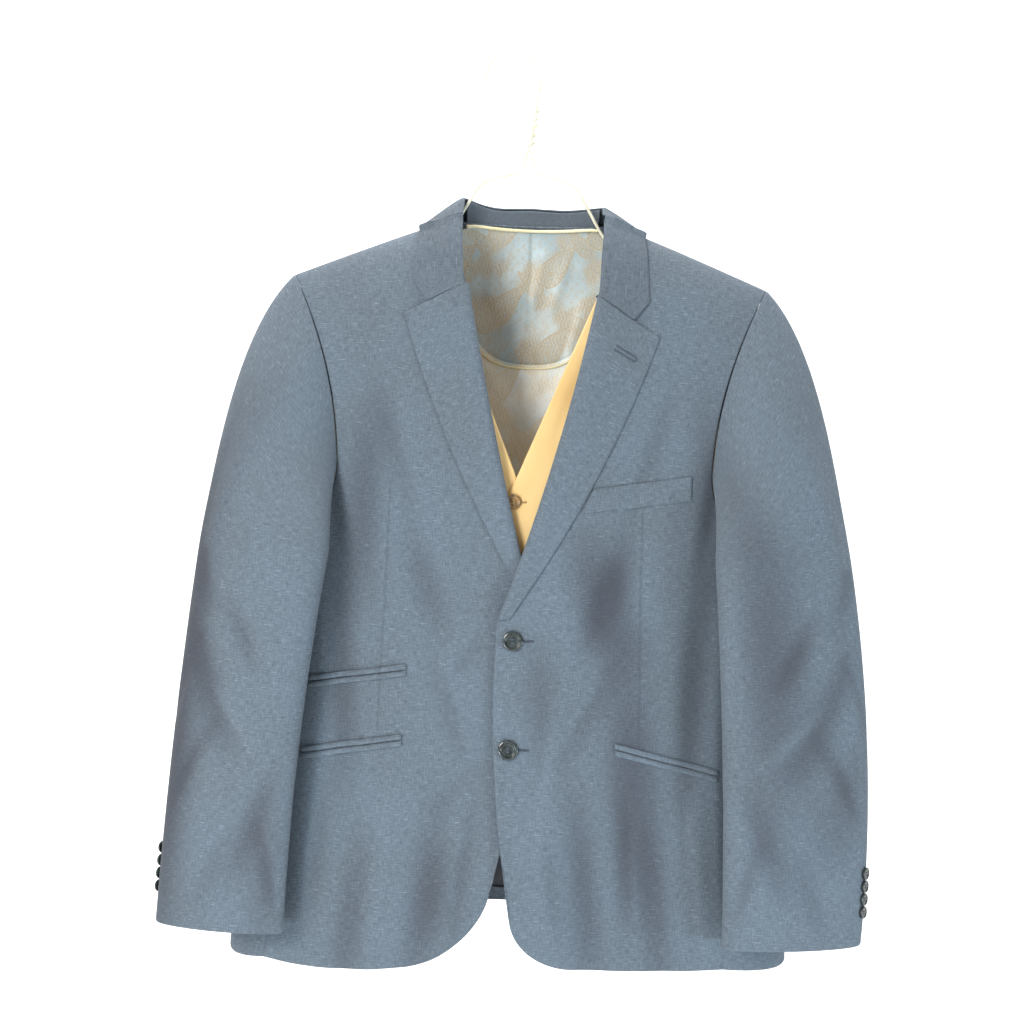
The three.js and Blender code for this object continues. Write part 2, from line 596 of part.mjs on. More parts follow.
function sleeveSection(side, turn, z) {
  const { top, cuff, bow } = SLEEVE[sideName(side)];
  const t = (z - top.z) / (cuff.z - top.z);
  const bulge = 4 * clamp(t, 0, 1) * (1 - clamp(t, 0, 1));
  const row = (column) => lerp(top[column], cuff[column], t) + bulge * (bow[column] ?? 0);
  const tilt = radians(row('turn'));
  const deep = row('deep');
  const halfSeen = (row('outer') - row('inner')) / 2;
  const wide = Math.sqrt(halfSeen ** 2 - (deep * Math.sin(tilt)) ** 2) / Math.cos(tilt);
  let press = 0;
  for (const fold of SLEEVE_FOLDS) {
    const down = (z - fold.z0) / (fold.z1 - fold.z0);
    const off = Math.abs(turn - fold.turn - fold.swing * (down - 0.5)) / fold.wide;
    if (down > 0 && down < 1 && off < 1) {
      press += fold.deep * Math.cos((off * Math.PI) / 2) ** 2 * Math.sin(down * Math.PI);
    }
  }
  const a = radians(turn);
  const reach = Math.cos(a) * wide;
  const rise = Math.sin(a) * (deep - press);
  const x = (row('outer') + row('inner')) / 2 + reach * Math.cos(tilt) + rise * Math.sin(tilt);
  const y = row('y') + reach * Math.sin(tilt) - rise * Math.cos(tilt);
  return new THREE.Vector3(side * x, y, z);
}

// The table of the sleeve head run on past both ends, so that it joins up smoothly at the top.
const shifted = (row, by) => ({ ...row, turn: row.turn + by, meets: row.meets + by });
const SLEEVE_PLACES = [shifted(SLEEVE_HEAD.at(-2), -360), ...SLEEVE_HEAD, shifted(SLEEVE_HEAD[1], 360)]
  .map((row) => ({ ...row, place: (row.turn + row.meets) / 2 }));

function sleevePoint(side, ring, place, v) {
  const at = place > HEAD.wrapsAt ? place - 360 : place;
  const meets = along(SLEEVE_PLACES, 'place', at, 'meets');
  const { top, cuff } = SLEEVE[sideName(side)];
  if (v > HEAD.share) {
    return sleeveSection(side, meets, lerp(top.z, cuff.z, (v - HEAD.share) / (1 - HEAD.share)));
  }
  const leave = new THREE.Vector3(
    side * along(SLEEVE_PLACES, 'place', at, 'x'),
    along(SLEEVE_PLACES, 'place', at, 'y'),
    along(SLEEVE_PLACES, 'place', at, 'z'),
  ).normalize();
  const turn = along(SLEEVE_PLACES, 'place', at, 'turn');
  const start = ring(turn).addScaledVector(leave, HEAD.clear);
  const end = sleeveSection(side, meets, top.z);
  const down = sleeveSection(side, meets, top.z - HEAD.straight).sub(end).normalize();
  const pull = start.distanceTo(end) * HEAD.fullness;
  const s = v / HEAD.share;
  const s2 = s * s;
  const s3 = s2 * s;
  return start.clone().multiplyScalar(2 * s3 - 3 * s2 + 1)
    .addScaledVector(leave, pull * (s3 - 2 * s2 + s))
    .addScaledVector(end, 3 * s2 - 2 * s3)
    .addScaledVector(down, pull * (s3 - s2));
}

function sleevePiece(name, side, placeAt, count) {
  const ring = armholeRing(side);
  const spot = (place, v) => sleevePoint(side, ring, place, clamp(v, 0, 1));
  const { sleeveTurn, sleeveDown } = SLOPE_STEP;
  const cells = gridOf([count, GRID.sleeveRows], (u, v) => {
    const place = placeAt(u, v);
    const p = spot(place, v);
    const round = spot(place + sleeveTurn, v).sub(spot(place - sleeveTurn, v));
    const down = spot(place, v + sleeveDown).sub(spot(place, v - sleeveDown));
    return { p, n: round.cross(down).multiplyScalar(side).normalize() };
  });
  return cloth(name, cells, SUIT_WALL, COLOURS.suit);
}

function sleeve(side) {
  const key = sideName(side);
  const { fore, hindTop, hindCuff, swungBy } = SLEEVE_SEAM;
  const { behind, before, crowding } = TOP_SLEEVE_COLUMNS;
  const swing = (v) => smooth(0, swungBy, v);
  const hind = (v) => lerp(hindTop, hindCuff[key], swing(v));
  const topPlace = (u, v) => {
    const column = lerp(-behind, before, u);
    const head = -Math.sign(column) * hindTop * Math.abs(column / behind) ** crowding;
    return lerp(head, lerp(hindCuff[key], fore, u), swing(v));
  };
  const underPlace = (u, v) => lerp(fore, hind(v) + 360, u);
  return [
    sleevePiece(`sleeve_top_${key}`, side, topPlace, behind + before),
    sleevePiece(`sleeve_under_${key}`, side, underPlace, GRID.underSleeve),
  ];
}

// ---------- lapels and collar ----------
// Height of a rolled edge over the cloth beneath it, from the roll outward.
function rollHeight(from, width) {
  const rest = SUIT_WALL + ROLL.clear;
  const tall = Math.min(ROLL.tall, ROLL.perWidth * width);
  const turnedOver = rounded(from / ROLL.turn);
  const settled = 1 - smooth(...ROLL.settle, from / width);
  const drop = (rest + ROLL.sink) * (1 - turnedOver) * smooth(...ROLL.narrow, width);
  return rest + tall * settled * turnedOver - drop;
}

function lapel(side) {
  const key = sideName(side);
  const roll = rollLine(key);
  const outer = bowed(LAPEL[key].foot, LAPEL[key].tip, LAPEL[key].belly);
  const rows = gridOf(GRID.lapel, (u, v) => {
    const a = roll(v);
    const b = outer(v);
    const width = Math.hypot(b.x - a.x, b.z - a.z);
    const share = u ** LAPEL_CROWDING;
    const x = lerp(a.x, b.x, share);
    const z = lerp(a.z, b.z, share);
    return onFront(side * x, z, lap(side, x) + rollHeight(share * width, width)).p;
  });
  return cloth(`lapel_${key}`, withNormals(rows, () => new THREE.Vector3(0, -1, 0)),
    SUIT_WALL, COLOURS.suit);
}

function collarRow(share) {
  const at = 1 - Math.abs(share);
  const side = share < 0 ? -1 : 1;
  const value = (column) => along(COLLAR, 'at', at, column);
  const peak = 1 - smooth(0, COLLAR_PEAK.reach, Math.abs(at - COLLAR_PEAK.at));
  const foldZ = value('foldZ') + COLLAR_PEAK[sideName(side)] * peak;
  const fold = new THREE.Vector3(side * value('foldX'), value('foldY'), foldZ);
  const edgeX = value('edgeX');
  const face = value('behind') > 0.5 ? onBack : onFront;
  const edge = face(side * edgeX, Math.min(value('edgeZ'), ridge(edgeX)), COLLAR_REST);
  return { fold, edge: edge.p, at };
}

// Lifts a point that would sink into the jacket, straight off the cloth beneath it.
function restOnBody(p, side) {
  for (let pass = 0; pass < 2; pass += 1) {
    const z = Math.min(p.z, ridge(p.x) - 1);
    const under = p.y > 0 ? onBack(p.x, z) : onFront(p.x, z, lap(side, Math.abs(p.x)));
    const gap = p.clone().sub(under.p).dot(under.n);
    if (gap < COLLAR_REST) {
      p.addScaledVector(under.n, COLLAR_REST - gap);
    }
  }
  return p;
}

// Place of the collar's end at a share of its width, lying flush with the lapel below it.
function collarEnd(side, x, s) {
  const key = sideName(side);
  const { gorge, tip } = LAPEL[key];
  const { notch, gap, cornerZ } = COLLAR_END;
  const { foldX, edgeX } = COLLAR[0];
  const topOfLapel = (at) => lerp(gorge.z, tip.z, (at - gorge.x) / (tip.x - gorge.x)) + gap;
  const notchZ = topOfLapel(lerp(foldX, edgeX, notch));
  const z = s < notch ? topOfLapel(x) : lerp(notchZ, cornerZ[key], (s - notch) / (1 - notch));
  const height = lap(side, x) + rollHeight(x - gorge.x, tip.x - gorge.x);
  return onFront(side * x, z, height).p;
}

function collarFall() {
  const last = COLLAR_SHARES.length - 1;
  const rows = gridOf([last, GRID.collarRows], (u, v) => {
    const share = 2 * v - 1;
    const side = share < 0 ? -1 : 1;
    const { fold, edge, at } = collarRow(share);
    const s = COLLAR_SHARES[Math.round(u * last)];
    const away = fold.clone().setZ(0).normalize();
    const p = fold.clone().lerp(edge, s);
    p.addScaledVector(away, Math.sin(Math.PI * Math.sqrt(s)) * COLLAR_ARCH);
    const ending = 1 - smooth(0, COLLAR_END.reach, at);
    return restOnBody(p, side).lerp(collarEnd(side, Math.abs(p.x), s), ending);
  });
  const outward = (p) => new THREE.Vector3(p.x, p.y < COLLAR_FRONT ? -NECK_HALF * 2 : p.y * 2, NECK_HALF);
  return cloth('collar_fall', withNormals(rows, outward), SUIT_WALL, COLOURS.suit);
}

// The stand runs from just under the fold down to the jacket's back neck.
function collarStand() {
  const rows = gridOf(GRID.stand, (u, v) => {
    const share = (2 * v - 1) * STAND.reach;
    const { fold } = collarRow(share);
    const inward = new THREE.Vector3(-fold.x, -fold.y, 0).normalize();
    const top = fold.clone().addScaledVector(inward, STAND.inside).setZ(fold.z - STAND.under);
    const neck = onBack(top.x, backNeckZ(top.x), -STAND.sunk).p;
    const foot = new THREE.Vector3(top.x, neck.y, neck.z + STAND.clear);
    return top.lerp(foot, 1 - u);
  });
  const inward = (p) => new THREE.Vector3(-p.x, -p.y, 0);
  return cloth('collar_stand', withNormals(rows, inward), STAND.wall, COLOURS.suit);
}

// ---------- pockets, lining and piping ----------
function pocketStrip(name, { side, x, z, across, drop, tall, slant = 0 }, rows) {
  const cells = gridOf([GRID.pocket, rows], (u, v) => {
    const spotX = x + across * u - slant * (1 - v) * (1 - u);
    return onFront(side * spotX, z - drop * u - tall * (1 - v), lap(side, spotX) + JET.lift);
  });
  return cloth(name, cells, JET.wall, COLOURS.suit);
}

function jets(name, pocket) {
  const lower = { ...pocket, z: pocket.z - JET.pitch, tall: JET.tall };
  return [
    pocketStrip(`${name}_jet_upper`, { ...pocket, tall: JET.tall }, 1),
    pocketStrip(`${name}_jet_lower`, lower, 1),
  ];
}

function backLining() {
  const cells = gridOf(GRID.lining, (u, v) => {
    const level = lerp(HEM_BACK + LINING.hemRise, BACK_NECK - LINING.neckDrop, v);
    const half = along(LINING.half, 'z', level, 'x');
    const x = lerp(-half, half, u);
    return onBack(x, Math.min(level, ridge(x) - LINING.underRidge), -LINING.depth);
  });
  return cloth('jacket_back_lining', cells, SATIN_WALL, COLOURS.lining);
}

// A path that steps through its own places, so that a tight bend keeps its shape.
class Stepped extends THREE.Curve {
  constructor(places) {
    super();
    this.places = places;
  }

  getPoint(t) {
    const at = t * (this.places.length - 1);
    const k = Math.min(Math.floor(at), this.places.length - 2);
    return this.places[k].clone().lerp(this.places[k + 1], at - k);
  }

  getPointAt(t) {
    return this.getPoint(t);
  }

  getTangentAt(t) {
    const halfStep = 0.5 / (this.places.length - 1);
    const ahead = this.getPoint(Math.min(t + halfStep, 1));
    return ahead.sub(this.getPoint(Math.max(t - halfStep, 0))).normalize();
  }
}

function cordAlong(name, places, radius, sides, finish) {
  const section = new THREE.Shape(Array.from({ length: sides }, (_, k) => {
    const turn = (k / sides) * 2 * Math.PI;
    return new THREE.Vector2(radius * Math.cos(turn), radius * Math.sin(turn));
  }));
  const steps = places.length - 1;
  const geometry = new THREE.ExtrudeGeometry(section, { steps, extrudePath: new Stepped(places) });
  const mesh = new THREE.Mesh(geometry, new THREE.MeshStandardMaterial(finish));
  mesh.name = name;
  return mesh;
}

function neckPiping() {
  const { half, drop, behind } = NECK_PIPING;
  const places = rowsOf((t) => {
    const x = lerp(-half, half, t);
    return onBack(x, BACK_NECK - drop, -LINING.depth - behind).p;
  }, PIPING.steps);
  return cordAlong('neck_piping', places, PIPING.radius, PIPING.sides, COLOURS.piping);
}

// ---------- waistcoat ----------
const waistcoatLift = (side, x) => {
  const { deep, full, gone } = WAISTCOAT_LAP;
  return WAISTCOAT.lift - (side < 0 ? deep * (1 - smooth(full, gone, Math.abs(x))) : 0);
};

// Half of the waistcoat's armhole, from the side to the shoulder.
const waistcoatArmhole = (footX) => {
  const { floor, inner, innerAt, knee, kneeShare } = WAISTCOAT.armhole;
  const head = { x: WAISTCOAT.shoulderHalf, z: ridge(WAISTCOAT.shoulderHalf) };
  return [{ x: footX, z: floor }, { x: inner + knee, z: lerp(floor, innerAt, kneeShare) },
    { x: inner, z: innerAt }, head];
};

function waistcoatFront(side) {
  const w = WAISTCOAT;
  const shift = side * w.middle;
  const lapEdge = -w.edge[sideName(side)];
  const neckX = w.vHalf + shift;
  const neck = { x: neckX, z: ridge(neckX) };
  const crossing = { x: lapEdge + shift, z: w.vPoint + lapEdge * w.vSlant };
  const foot = { x: lapEdge + shift, z: w.point + w.pointRise };
  const sideEnd = { x: w.sideFront, z: w.sideHem };
  const near = joined(pathOf([foot, crossing]), pathOf([crossing, neck]), crowded(ROW_SHARES.edge));
  const knee = { x: w.hemKnee.x, z: w.sideHem - w.hemKnee.drop };
  const hem = pathOf([foot, { x: w.pointX, z: w.point }, knee, sideEnd]);
  const far = pathOf([sideEnd, w.waist, ...waistcoatArmhole(w.armhole.frontFoot)]);
  const shoulder = (u) => {
    const x = lerp(neckX, w.shoulderHalf, u);
    return { x, z: ridge(x) };
  };
  const spot = patch(hem, shoulder, near, far);
  const cells = gridOf(GRID.waistcoatFront, (u, v) => {
    const { x, z } = spot(u, v);
    return onFront(side * x, Math.min(z, ridge(x)), waistcoatLift(side, side * x));
  }, crowded);
  return cloth(`waistcoat_front_${sideName(side)}`, cells, SUIT_WALL, COLOURS.tan);
}

function waistcoatBackNeck(x) {
  const share = clamp(Math.abs(x) / WAISTCOAT.vHalf, 0, 1);
  return lerp(WAISTCOAT_NECK.z, ridge(WAISTCOAT.vHalf), share ** WAISTCOAT_NECK.squareness);
}

function waistcoatBack() {
  const w = WAISTCOAT;
  const half = pathOf([{ x: w.sideBack, z: w.sideHem }, w.waist, ...waistcoatArmhole(w.armhole.backFoot)]);
  const cells = gridOf(GRID.waistcoatBack, (u, v) => {
    const share = 2 * u - 1;
    const side = share < 0 ? -1 : 1;
    const edge = half(v);
    const x = Math.abs(share) * edge.x;
    const topX = Math.abs(share) * w.shoulderHalf;
    const top = topX < w.vHalf ? waistcoatBackNeck(topX) : ridge(topX);
    const z = Math.min(lerp(lerp(w.sideHem, top, v), edge.z, Math.abs(share) ** 3), ridge(x));
    return onBack(side * x, z, w.lift);
  }, crowded);
  return cloth('waistcoat_back', cells, SATIN_WALL, COLOURS.satin);
}

function waistcoatPiping() {
  const { half, drop, behind } = WAISTCOAT_PIPING;
  const places = rowsOf((t) => {
    const x = lerp(-half, half, t);
    return onBack(x, waistcoatBackNeck(x) - drop, WAISTCOAT.lift - behind).p;
  }, PIPING.steps);
  return cordAlong('waistcoat_neck_piping', places, PIPING.radius, PIPING.sides, COLOURS.piping);
}

// ---------- buttons ----------
function button(name, { p, n }, radius, gap, finish) {
  const { thickness, foot, brim, rimOut, rimIn, dish, sides } = BUTTON;
  const section = [[0, 0], [foot, 0], [1, brim], [rimOut, 1], [rimIn, dish], [0, dish]];
  const profile = section.map(([out, up]) => new THREE.Vector2(out * radius, up * radius * thickness));
  const turned = new THREE.LatheGeometry(profile, sides);
  const mesh = new THREE.Mesh(turned, new THREE.MeshStandardMaterial(finish));
  mesh.quaternion.setFromUnitVectors(new THREE.Vector3(0, 1, 0), n);
  mesh.position.copy(p).addScaledVector(n, gap);
  mesh.name = name;
  return mesh;
}

function cuffButton(side, k) {
  const key = sideName(side);
  const { bottom, pitch, radius } = CUFF_BUTTONS;
  const z = bottom + k * pitch;
  const turn = CUFF_BUTTON_AT[key];
  const step = SLOPE_STEP.button;
  const round = sleeveSection(side, turn + step, z).sub(sleeveSection(side, turn - step, z));
  const n = round.cross(new THREE.Vector3(0, 0, -1)).multiplyScalar(side).normalize();
  const place = { p: sleeveSection(side, turn, z), n };
  return button(`cuff_button_${key}_${k + 1}`, place, radius, BUTTON_GAPS.cuff, COLOURS.darkHorn);
}

function waistcoatButton(k) {
  const { x, top, pitch, radius } = WAISTCOAT_BUTTONS;
  const place = onFront(x, top - k * pitch, WAISTCOAT.lift);
  return button(`waistcoat_button_${k + 1}`, place, radius, BUTTON_GAPS.waistcoat, COLOURS.brownHorn);
}

function buttons() {
  const made = FRONT_BUTTONS.map(({ x, z }, k) => button(`front_button_${k + 1}`,
    onFront(x, z, lap(1, x)), FRONT_BUTTON_RADIUS, BUTTON_GAPS.front, COLOURS.darkHorn));
  for (let k = 0; k < WAISTCOAT_BUTTONS.count; k += 1) {
    made.push(waistcoatButton(k));
  }
  for (let k = 0; k < CUFF_BUTTONS.count; k += 1) {
    made.push(cuffButton(1, k), cuffButton(-1, k));
  }
  return made;
}

// ---------- hanger ----------
// Straight runs between corners, each corner rounded by a short bend.
function bentLine(corners) {
  return corners.flatMap((corner, k) => {
    const here = new THREE.Vector3(corner.x, 0, corner.z);
    if (k === 0 || k === corners.length - 1) {
      return [here];
    }
    const toward = (other) => new THREE.Vector3(other.x, 0, other.z).sub(here).setLength(corner.round);
    const from = here.clone().add(toward(corners[k - 1]));
    const to = here.clone().add(toward(corners[k + 1]));
    return new THREE.QuadraticBezierCurve3(from, here, to).getPoints(BEND_STEPS);
  });
}

function hangerHook() {
  const centre = new THREE.Vector3(0, 0, WIRE.radius - HOOK.radius);
  const places = [];
  for (let turn = HOOK.endTurn; turn >= HOOK.lowTurn; turn -= HOOK.step) {
    const a = radians(turn);
    const reach = new THREE.Vector3(Math.cos(a), 0, Math.sin(a)).multiplyScalar(HOOK.radius);
    places.push(reach.add(centre));
  }
  places.push(new THREE.Vector3(HOOK.foot.x, 0, HOOK.foot.z));
  return cordAlong('hanger_hook', places, WIRE.radius, WIRE.sides, COLOURS.wire);
}

// Both arms are one wire that turns over at the foot of the neck.
function hangerArms() {
  const tip = { x: ARM_TIP.x, z: ridge(ARM_TIP.x) - ARM_TIP.underRidge };
  const arm = (sign) => [...ARM_BENDS, tip].map((bend) => ({ ...bend, x: ARM_MIDDLE + sign * bend.x }));
  const places = bentLine([...arm(-1).reverse(), ...arm(1)]);
  return cordAlong('hanger_arms', places, WIRE.radius, WIRE.sides, COLOURS.wire);
}

// ---------- assembly ----------
const blazerAndWaistcoat = new THREE.Group();
const garment = new THREE.Group();
garment.position.copy(GARMENT_PLACE);
garment.rotation.y = radians(LEAN_DEGREES);

for (const side of [1, -1]) {
  garment.add(jacketFront(side), jacketSide(side), jacketBack(side), ...sleeve(side));
  garment.add(lapel(side), waistcoatFront(side));
}
garment.add(collarFall(), collarStand(), backLining(), neckPiping());
garment.add(waistcoatBack(), waistcoatPiping());
garment.add(pocketStrip('breast_welt', BREAST_WELT, 3));
for (const [name, pocket] of Object.entries(JETTED_POCKETS)) {
  garment.add(...jets(name, pocket));
}
garment.add(...buttons(), hangerArms());
blazerAndWaistcoat.add(garment, hangerHook());

export default blazerAndWaistcoat;
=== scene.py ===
# %% [markdown]
# # A blazer and waistcoat on a wire hanger
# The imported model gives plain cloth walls. Here every wall becomes a fine sheet of cloth with creases,
# a weave and sewing. The sheets are worked out in the garment's own frame, in millimetres, and only
# turned into metres when a mesh is made.

import math

import bpy
import numpy as np
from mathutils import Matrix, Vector


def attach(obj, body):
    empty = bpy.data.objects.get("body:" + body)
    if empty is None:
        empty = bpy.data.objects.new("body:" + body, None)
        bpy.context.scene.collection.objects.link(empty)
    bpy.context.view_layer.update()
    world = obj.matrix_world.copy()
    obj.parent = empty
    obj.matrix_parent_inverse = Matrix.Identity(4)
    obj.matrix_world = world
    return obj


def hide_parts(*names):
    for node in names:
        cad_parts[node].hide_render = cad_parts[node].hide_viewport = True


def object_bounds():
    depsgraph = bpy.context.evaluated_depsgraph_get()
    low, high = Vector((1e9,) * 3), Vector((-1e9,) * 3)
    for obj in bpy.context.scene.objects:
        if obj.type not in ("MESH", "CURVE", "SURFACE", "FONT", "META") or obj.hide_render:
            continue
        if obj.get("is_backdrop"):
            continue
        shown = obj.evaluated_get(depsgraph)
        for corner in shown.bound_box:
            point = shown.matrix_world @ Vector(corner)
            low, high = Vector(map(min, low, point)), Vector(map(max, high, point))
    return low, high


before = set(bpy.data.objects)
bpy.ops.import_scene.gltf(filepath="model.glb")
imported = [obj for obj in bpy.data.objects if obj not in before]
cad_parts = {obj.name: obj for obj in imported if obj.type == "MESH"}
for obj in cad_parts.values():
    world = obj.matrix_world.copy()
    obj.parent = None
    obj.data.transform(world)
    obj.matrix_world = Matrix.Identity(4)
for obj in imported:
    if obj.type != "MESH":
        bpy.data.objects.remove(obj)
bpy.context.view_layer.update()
bpy.ops.object.select_all(action="DESELECT")

# %% [markdown]
# The garment hangs a little beside the hook and leans to one side of it, by the same place and lean
# that the solids have. The sizes below are the cut of the jacket, the same that the solids have.

# %% Place and lean of the garment
MM = 0.001
LEAN = math.radians(2)
PLACE = np.array([19.4, 0.0, -171.4])
print("the garment's own origin lies", PLACE.tolist(), "mm from the top of the hook")


def to_frame(points):
    """Points of the garment's own frame, in millimetres, as metres of the model's frame."""
    points = np.asarray(points, dtype=float)
    x = points[..., 0] * math.cos(LEAN) + points[..., 2] * math.sin(LEAN)
    z = -points[..., 0] * math.sin(LEAN) + points[..., 2] * math.cos(LEAN)
    return (np.stack([x, points[..., 1], z], axis=-1) + PLACE) * MM


# %% [markdown]
# An operator works on all that is selected, so each piece is picked out alone before it is shaped.

# %% Picking pieces


def pick(*pieces):
    bpy.ops.object.select_all(action="DESELECT")
    for piece in pieces:
        piece.select_set(True)
    bpy.context.view_layer.objects.active = pieces[0]


def join(pieces, name):
    pick(*pieces)
    bpy.ops.object.join()
    made = bpy.context.object
    made.name = made.data.name = name
    return made


# %% [markdown]
# Small helpers on arrays. A table has one dictionary for each row, and a value between two rows is
# read off a smooth curve that never overshoots. A path is a function from 0 to 1 to a place (x, z).

# %% Tables and paths
def along(rows, key, at, column):
    keys = np.array([row[key] for row in rows], dtype=float)
    values = np.array([row[column] for row in rows], dtype=float)
    if keys[-1] < keys[0]:
        keys, values = keys[::-1], values[::-1]
    slopes = np.diff(values) / np.diff(keys)
    turns = np.empty_like(keys)
    turns[0], turns[-1] = slopes[0], slopes[-1]
    product = slopes[:-1] * slopes[1:]
    total = slopes[:-1] + slopes[1:]
    turns[1:-1] = np.where(product > 0, 2 * product / np.where(total == 0, 1, total), 0)
    at = np.clip(np.asarray(at, dtype=float), keys[0], keys[-1])
    i = np.clip(np.searchsorted(keys, at, side="right") - 1, 0, len(keys) - 2)
    span = keys[i + 1] - keys[i]
    t = (at - keys[i]) / span
    return ((2 * t**3 - 3 * t**2 + 1) * values[i] + (t**3 - 2 * t**2 + t) * span * turns[i]
            + (3 * t**2 - 2 * t**3) * values[i + 1] + (t**3 - t**2) * span * turns[i + 1])


def mix(a, b, t):
    return a + (b - a) * t


def smooth(low, high, at):
    t = np.clip((np.asarray(at, dtype=float) - low) / (high - low), 0, 1)
    return t * t * (3 - 2 * t)


def path_of(places):
    places = np.asarray(places, dtype=float)
    steps = np.hypot(*np.diff(places, axis=0).T)
    walked = np.concatenate([[0], np.cumsum(steps)])
    rows = [{"at": a, "x": x, "z": z} for a, (x, z) in zip(walked, places)]
    return lambda t: (along(rows, "at", np.asarray(t) * walked[-1], "x"),
                      along(rows, "at", np.asarray(t) * walked[-1], "z"))


def bowed(start, end, bow_x, bow_z=0.0):
    return lambda t: (mix(start[0], end[0], np.asarray(t)) + 4 * t * (1 - t) * bow_x,
                      mix(start[1], end[1], np.asarray(t)) + 4 * t * (1 - t) * bow_z)


def places_on(path, count):
    t = np.linspace(0, 1, count + 1)
    return np.stack(path(t), axis=-1)


def joined(first, second, share):
    def path(t):
        t = np.asarray(t, dtype=float)
        a = first(np.clip(t / share, 0, 1))
        b = second(np.clip((t - share) / (1 - share), 0, 1))
        return tuple(np.where(t < share, p, q) for p, q in zip(a, b))
    return path


def patch(foot, head, near, far):
    """Surface between four edge paths: foot and head run in u, near and far run in v."""
    def spot(u, v):
        out = []
        for k in (0, 1):
            corners = [[foot(0.0)[k], foot(1.0)[k]], [head(0.0)[k], head(1.0)[k]]]
            out.append((1 - v) * foot(u)[k] + v * head(u)[k] + (1 - u) * near(v)[k] + u * far(v)[k]
                       - (1 - u) * (1 - v) * corners[0][0] - u * (1 - v) * corners[0][1]
                       - (1 - u) * v * corners[1][0] - u * v * corners[1][1])
        return out[0], out[1]
    return spot


# %% [markdown]
# The hanging body. Every panel of the jacket lies on one form: a flat oval that narrows at the waist,
# under two sloping shoulder ridges. Cloth hangs from the ridge in a quarter round, so the form's depth
# grows from nothing at the ridge. Cloth could be dropped on a dummy and left to settle, but a form
# worked out by formula gives all the panels one shape, and the same shape each time.

# %% Driving sizes of the jacket
SUIT_WALL = 2.0
SATIN_WALL = 1.2
SIDE_POWER = 0.8
RIDGE_TOP, RIDGE_SLOPE, RIDGE_ROUND = 40.4, 0.42, 60
FALL_FRONT, FALL_BACK = 120, 110
NECK_HALF = 82
SHOULDER_HALF = 240
HEM_BACK = -706
BACK_NECK = -2
SIDE_HEM_SAG = 16
LAP = {1: 5.5, -1: -1.6}
LAP_REACH = (30, 120)


def table(columns, *rows):
    return [dict(zip(columns.split(), row)) for row in rows]


BODY = table(
    "z half front back",
    (60, 290, 50, 44),
    (-80, 288, 54, 48),
    (-200, 279, 60, 52),
    (-315, 264, 64, 54),
    (-430, 258, 62, 52),
    (-560, 271, 64, 54),
    (-770, 284, 68, 58),
)
# Largest folds, as in the solids: soft troughs from one end to the other, half width and depth.
FOLDS_FRONT = table(
    "x0 z0 x1 z1 wide deep",
    (118, -300, 58, -450, 26, 4),
    (182, -320, 172, -620, 24, 5),
    (58, -545, 88, -790, 28, 5),
    (132, -590, 158, -800, 26, 4),
    (-120, -300, -68, -440, 26, 3.5),
    (-180, -330, -168, -610, 24, 5),
    (-72, -560, -98, -800, 28, 4.5),
    (-148, -600, -168, -810, 26, 4),
)
FOLDS_BACK = table(
    "x0 z0 x1 z1 wide deep",
    (66, -150, 48, -520, 30, 4.5),
    (-74, -190, -52, -600, 30, 4),
    (150, -220, 138, -640, 32, 5),
    (-156, -180, -140, -560, 32, 5),
    (92, -500, 104, -780, 30, 4),
    (-96, -520, -110, -790, 30, 4),
)
# Painted shade: broad soft patches where the colour of the fronts is drawn darker, standing in for shade.
SHADE_PATCHES_FRONT = table(
    "x0 z0 x1 z1 wide deep",
    (56, -300, 112, -470, 50, 3.6),
    (104, -400, 132, -720, 46, 3.8),
    (176, -130, 196, -420, 34, 2.4),
    (14, -400, 34, -580, 30, 2.0),
    (-150, -150, -166, -430, 34, 2.8),
    (-60, -620, -76, -740, 30, 1.6),
)
# The large folds count for less in the painted shade than in the form.
FOLD_SHADE = 0.6
# Smaller creases that the solids leave out: a minus depth is a ridge, lean makes one flank steeper.
CREASES_FRONT = table(
    "x0 z0 x1 z1 wide deep lean",
    (150, -150, 96, -330, 16, 1.8, 0.3),
    (205, -190, 176, -360, 12, 2.2, -0.3),
    (96, -440, 40, -560, 15, 1.8, 0.4),
    (40, -470, 24, -640, 13, -1.6, 0.2),
    (108, -560, 120, -735, 12, 1.8, -0.3),
    (30, -600, 52, -740, 14, 1.6, 0.3),
    (176, -560, 196, -742, 13, -1.8, 0.2),
    (206, -420, 214, -700, 12, 2.2, 0.3),
    (-146, -170, -104, -320, 16, 1.7, -0.3),
    (-204, -200, -180, -350, 12, 2, 0.3),
    (-88, -430, -44, -560, 15, 1.5, -0.3),
    (-36, -560, -58, -745, 13, 1.6, 0.3),
    (-122, -560, -136, -742, 12, -1.5, -0.2),
    (-186, -540, -202, -742, 13, 1.8, 0.3),
    (-30, -410, -70, -470, 12, 1.4, 0.4),
    (-26, -540, -88, -600, 12, 1.2, 0.3),
)
CREASES_BACK = table(
    "x0 z0 x1 z1 wide deep lean",
    (110, -90, 160, -240, 18, 1.8, 0.3),
    (-116, -80, -168, -250, 18, 1.6, -0.3),
    (30, -220, 24, -470, 16, -1.5, 0.2),
    (-34, -260, -28, -500, 15, 1.5, 0.2),
    (190, -300, 176, -560, 14, 2, -0.3),
    (-196, -280, -178, -520, 14, 2, 0.3),
    (60, -560, 66, -700, 14, 1.8, 0.3),
    (-64, -580, -72, -702, 14, 1.6, 0.3),
    (140, -600, 150, -700, 14, -1.6, 0.3),
    (-150, -590, -158, -702, 14, 1.7, -0.2),
)

# %% The form that the cloth hangs in


def ridge(x):
    return RIDGE_TOP - RIDGE_SLOPE * np.hypot(x, RIDGE_ROUND)


def rounded(u):
    inside = 1 - np.clip(u, 0, 1)
    return np.sqrt(1 - inside * inside)


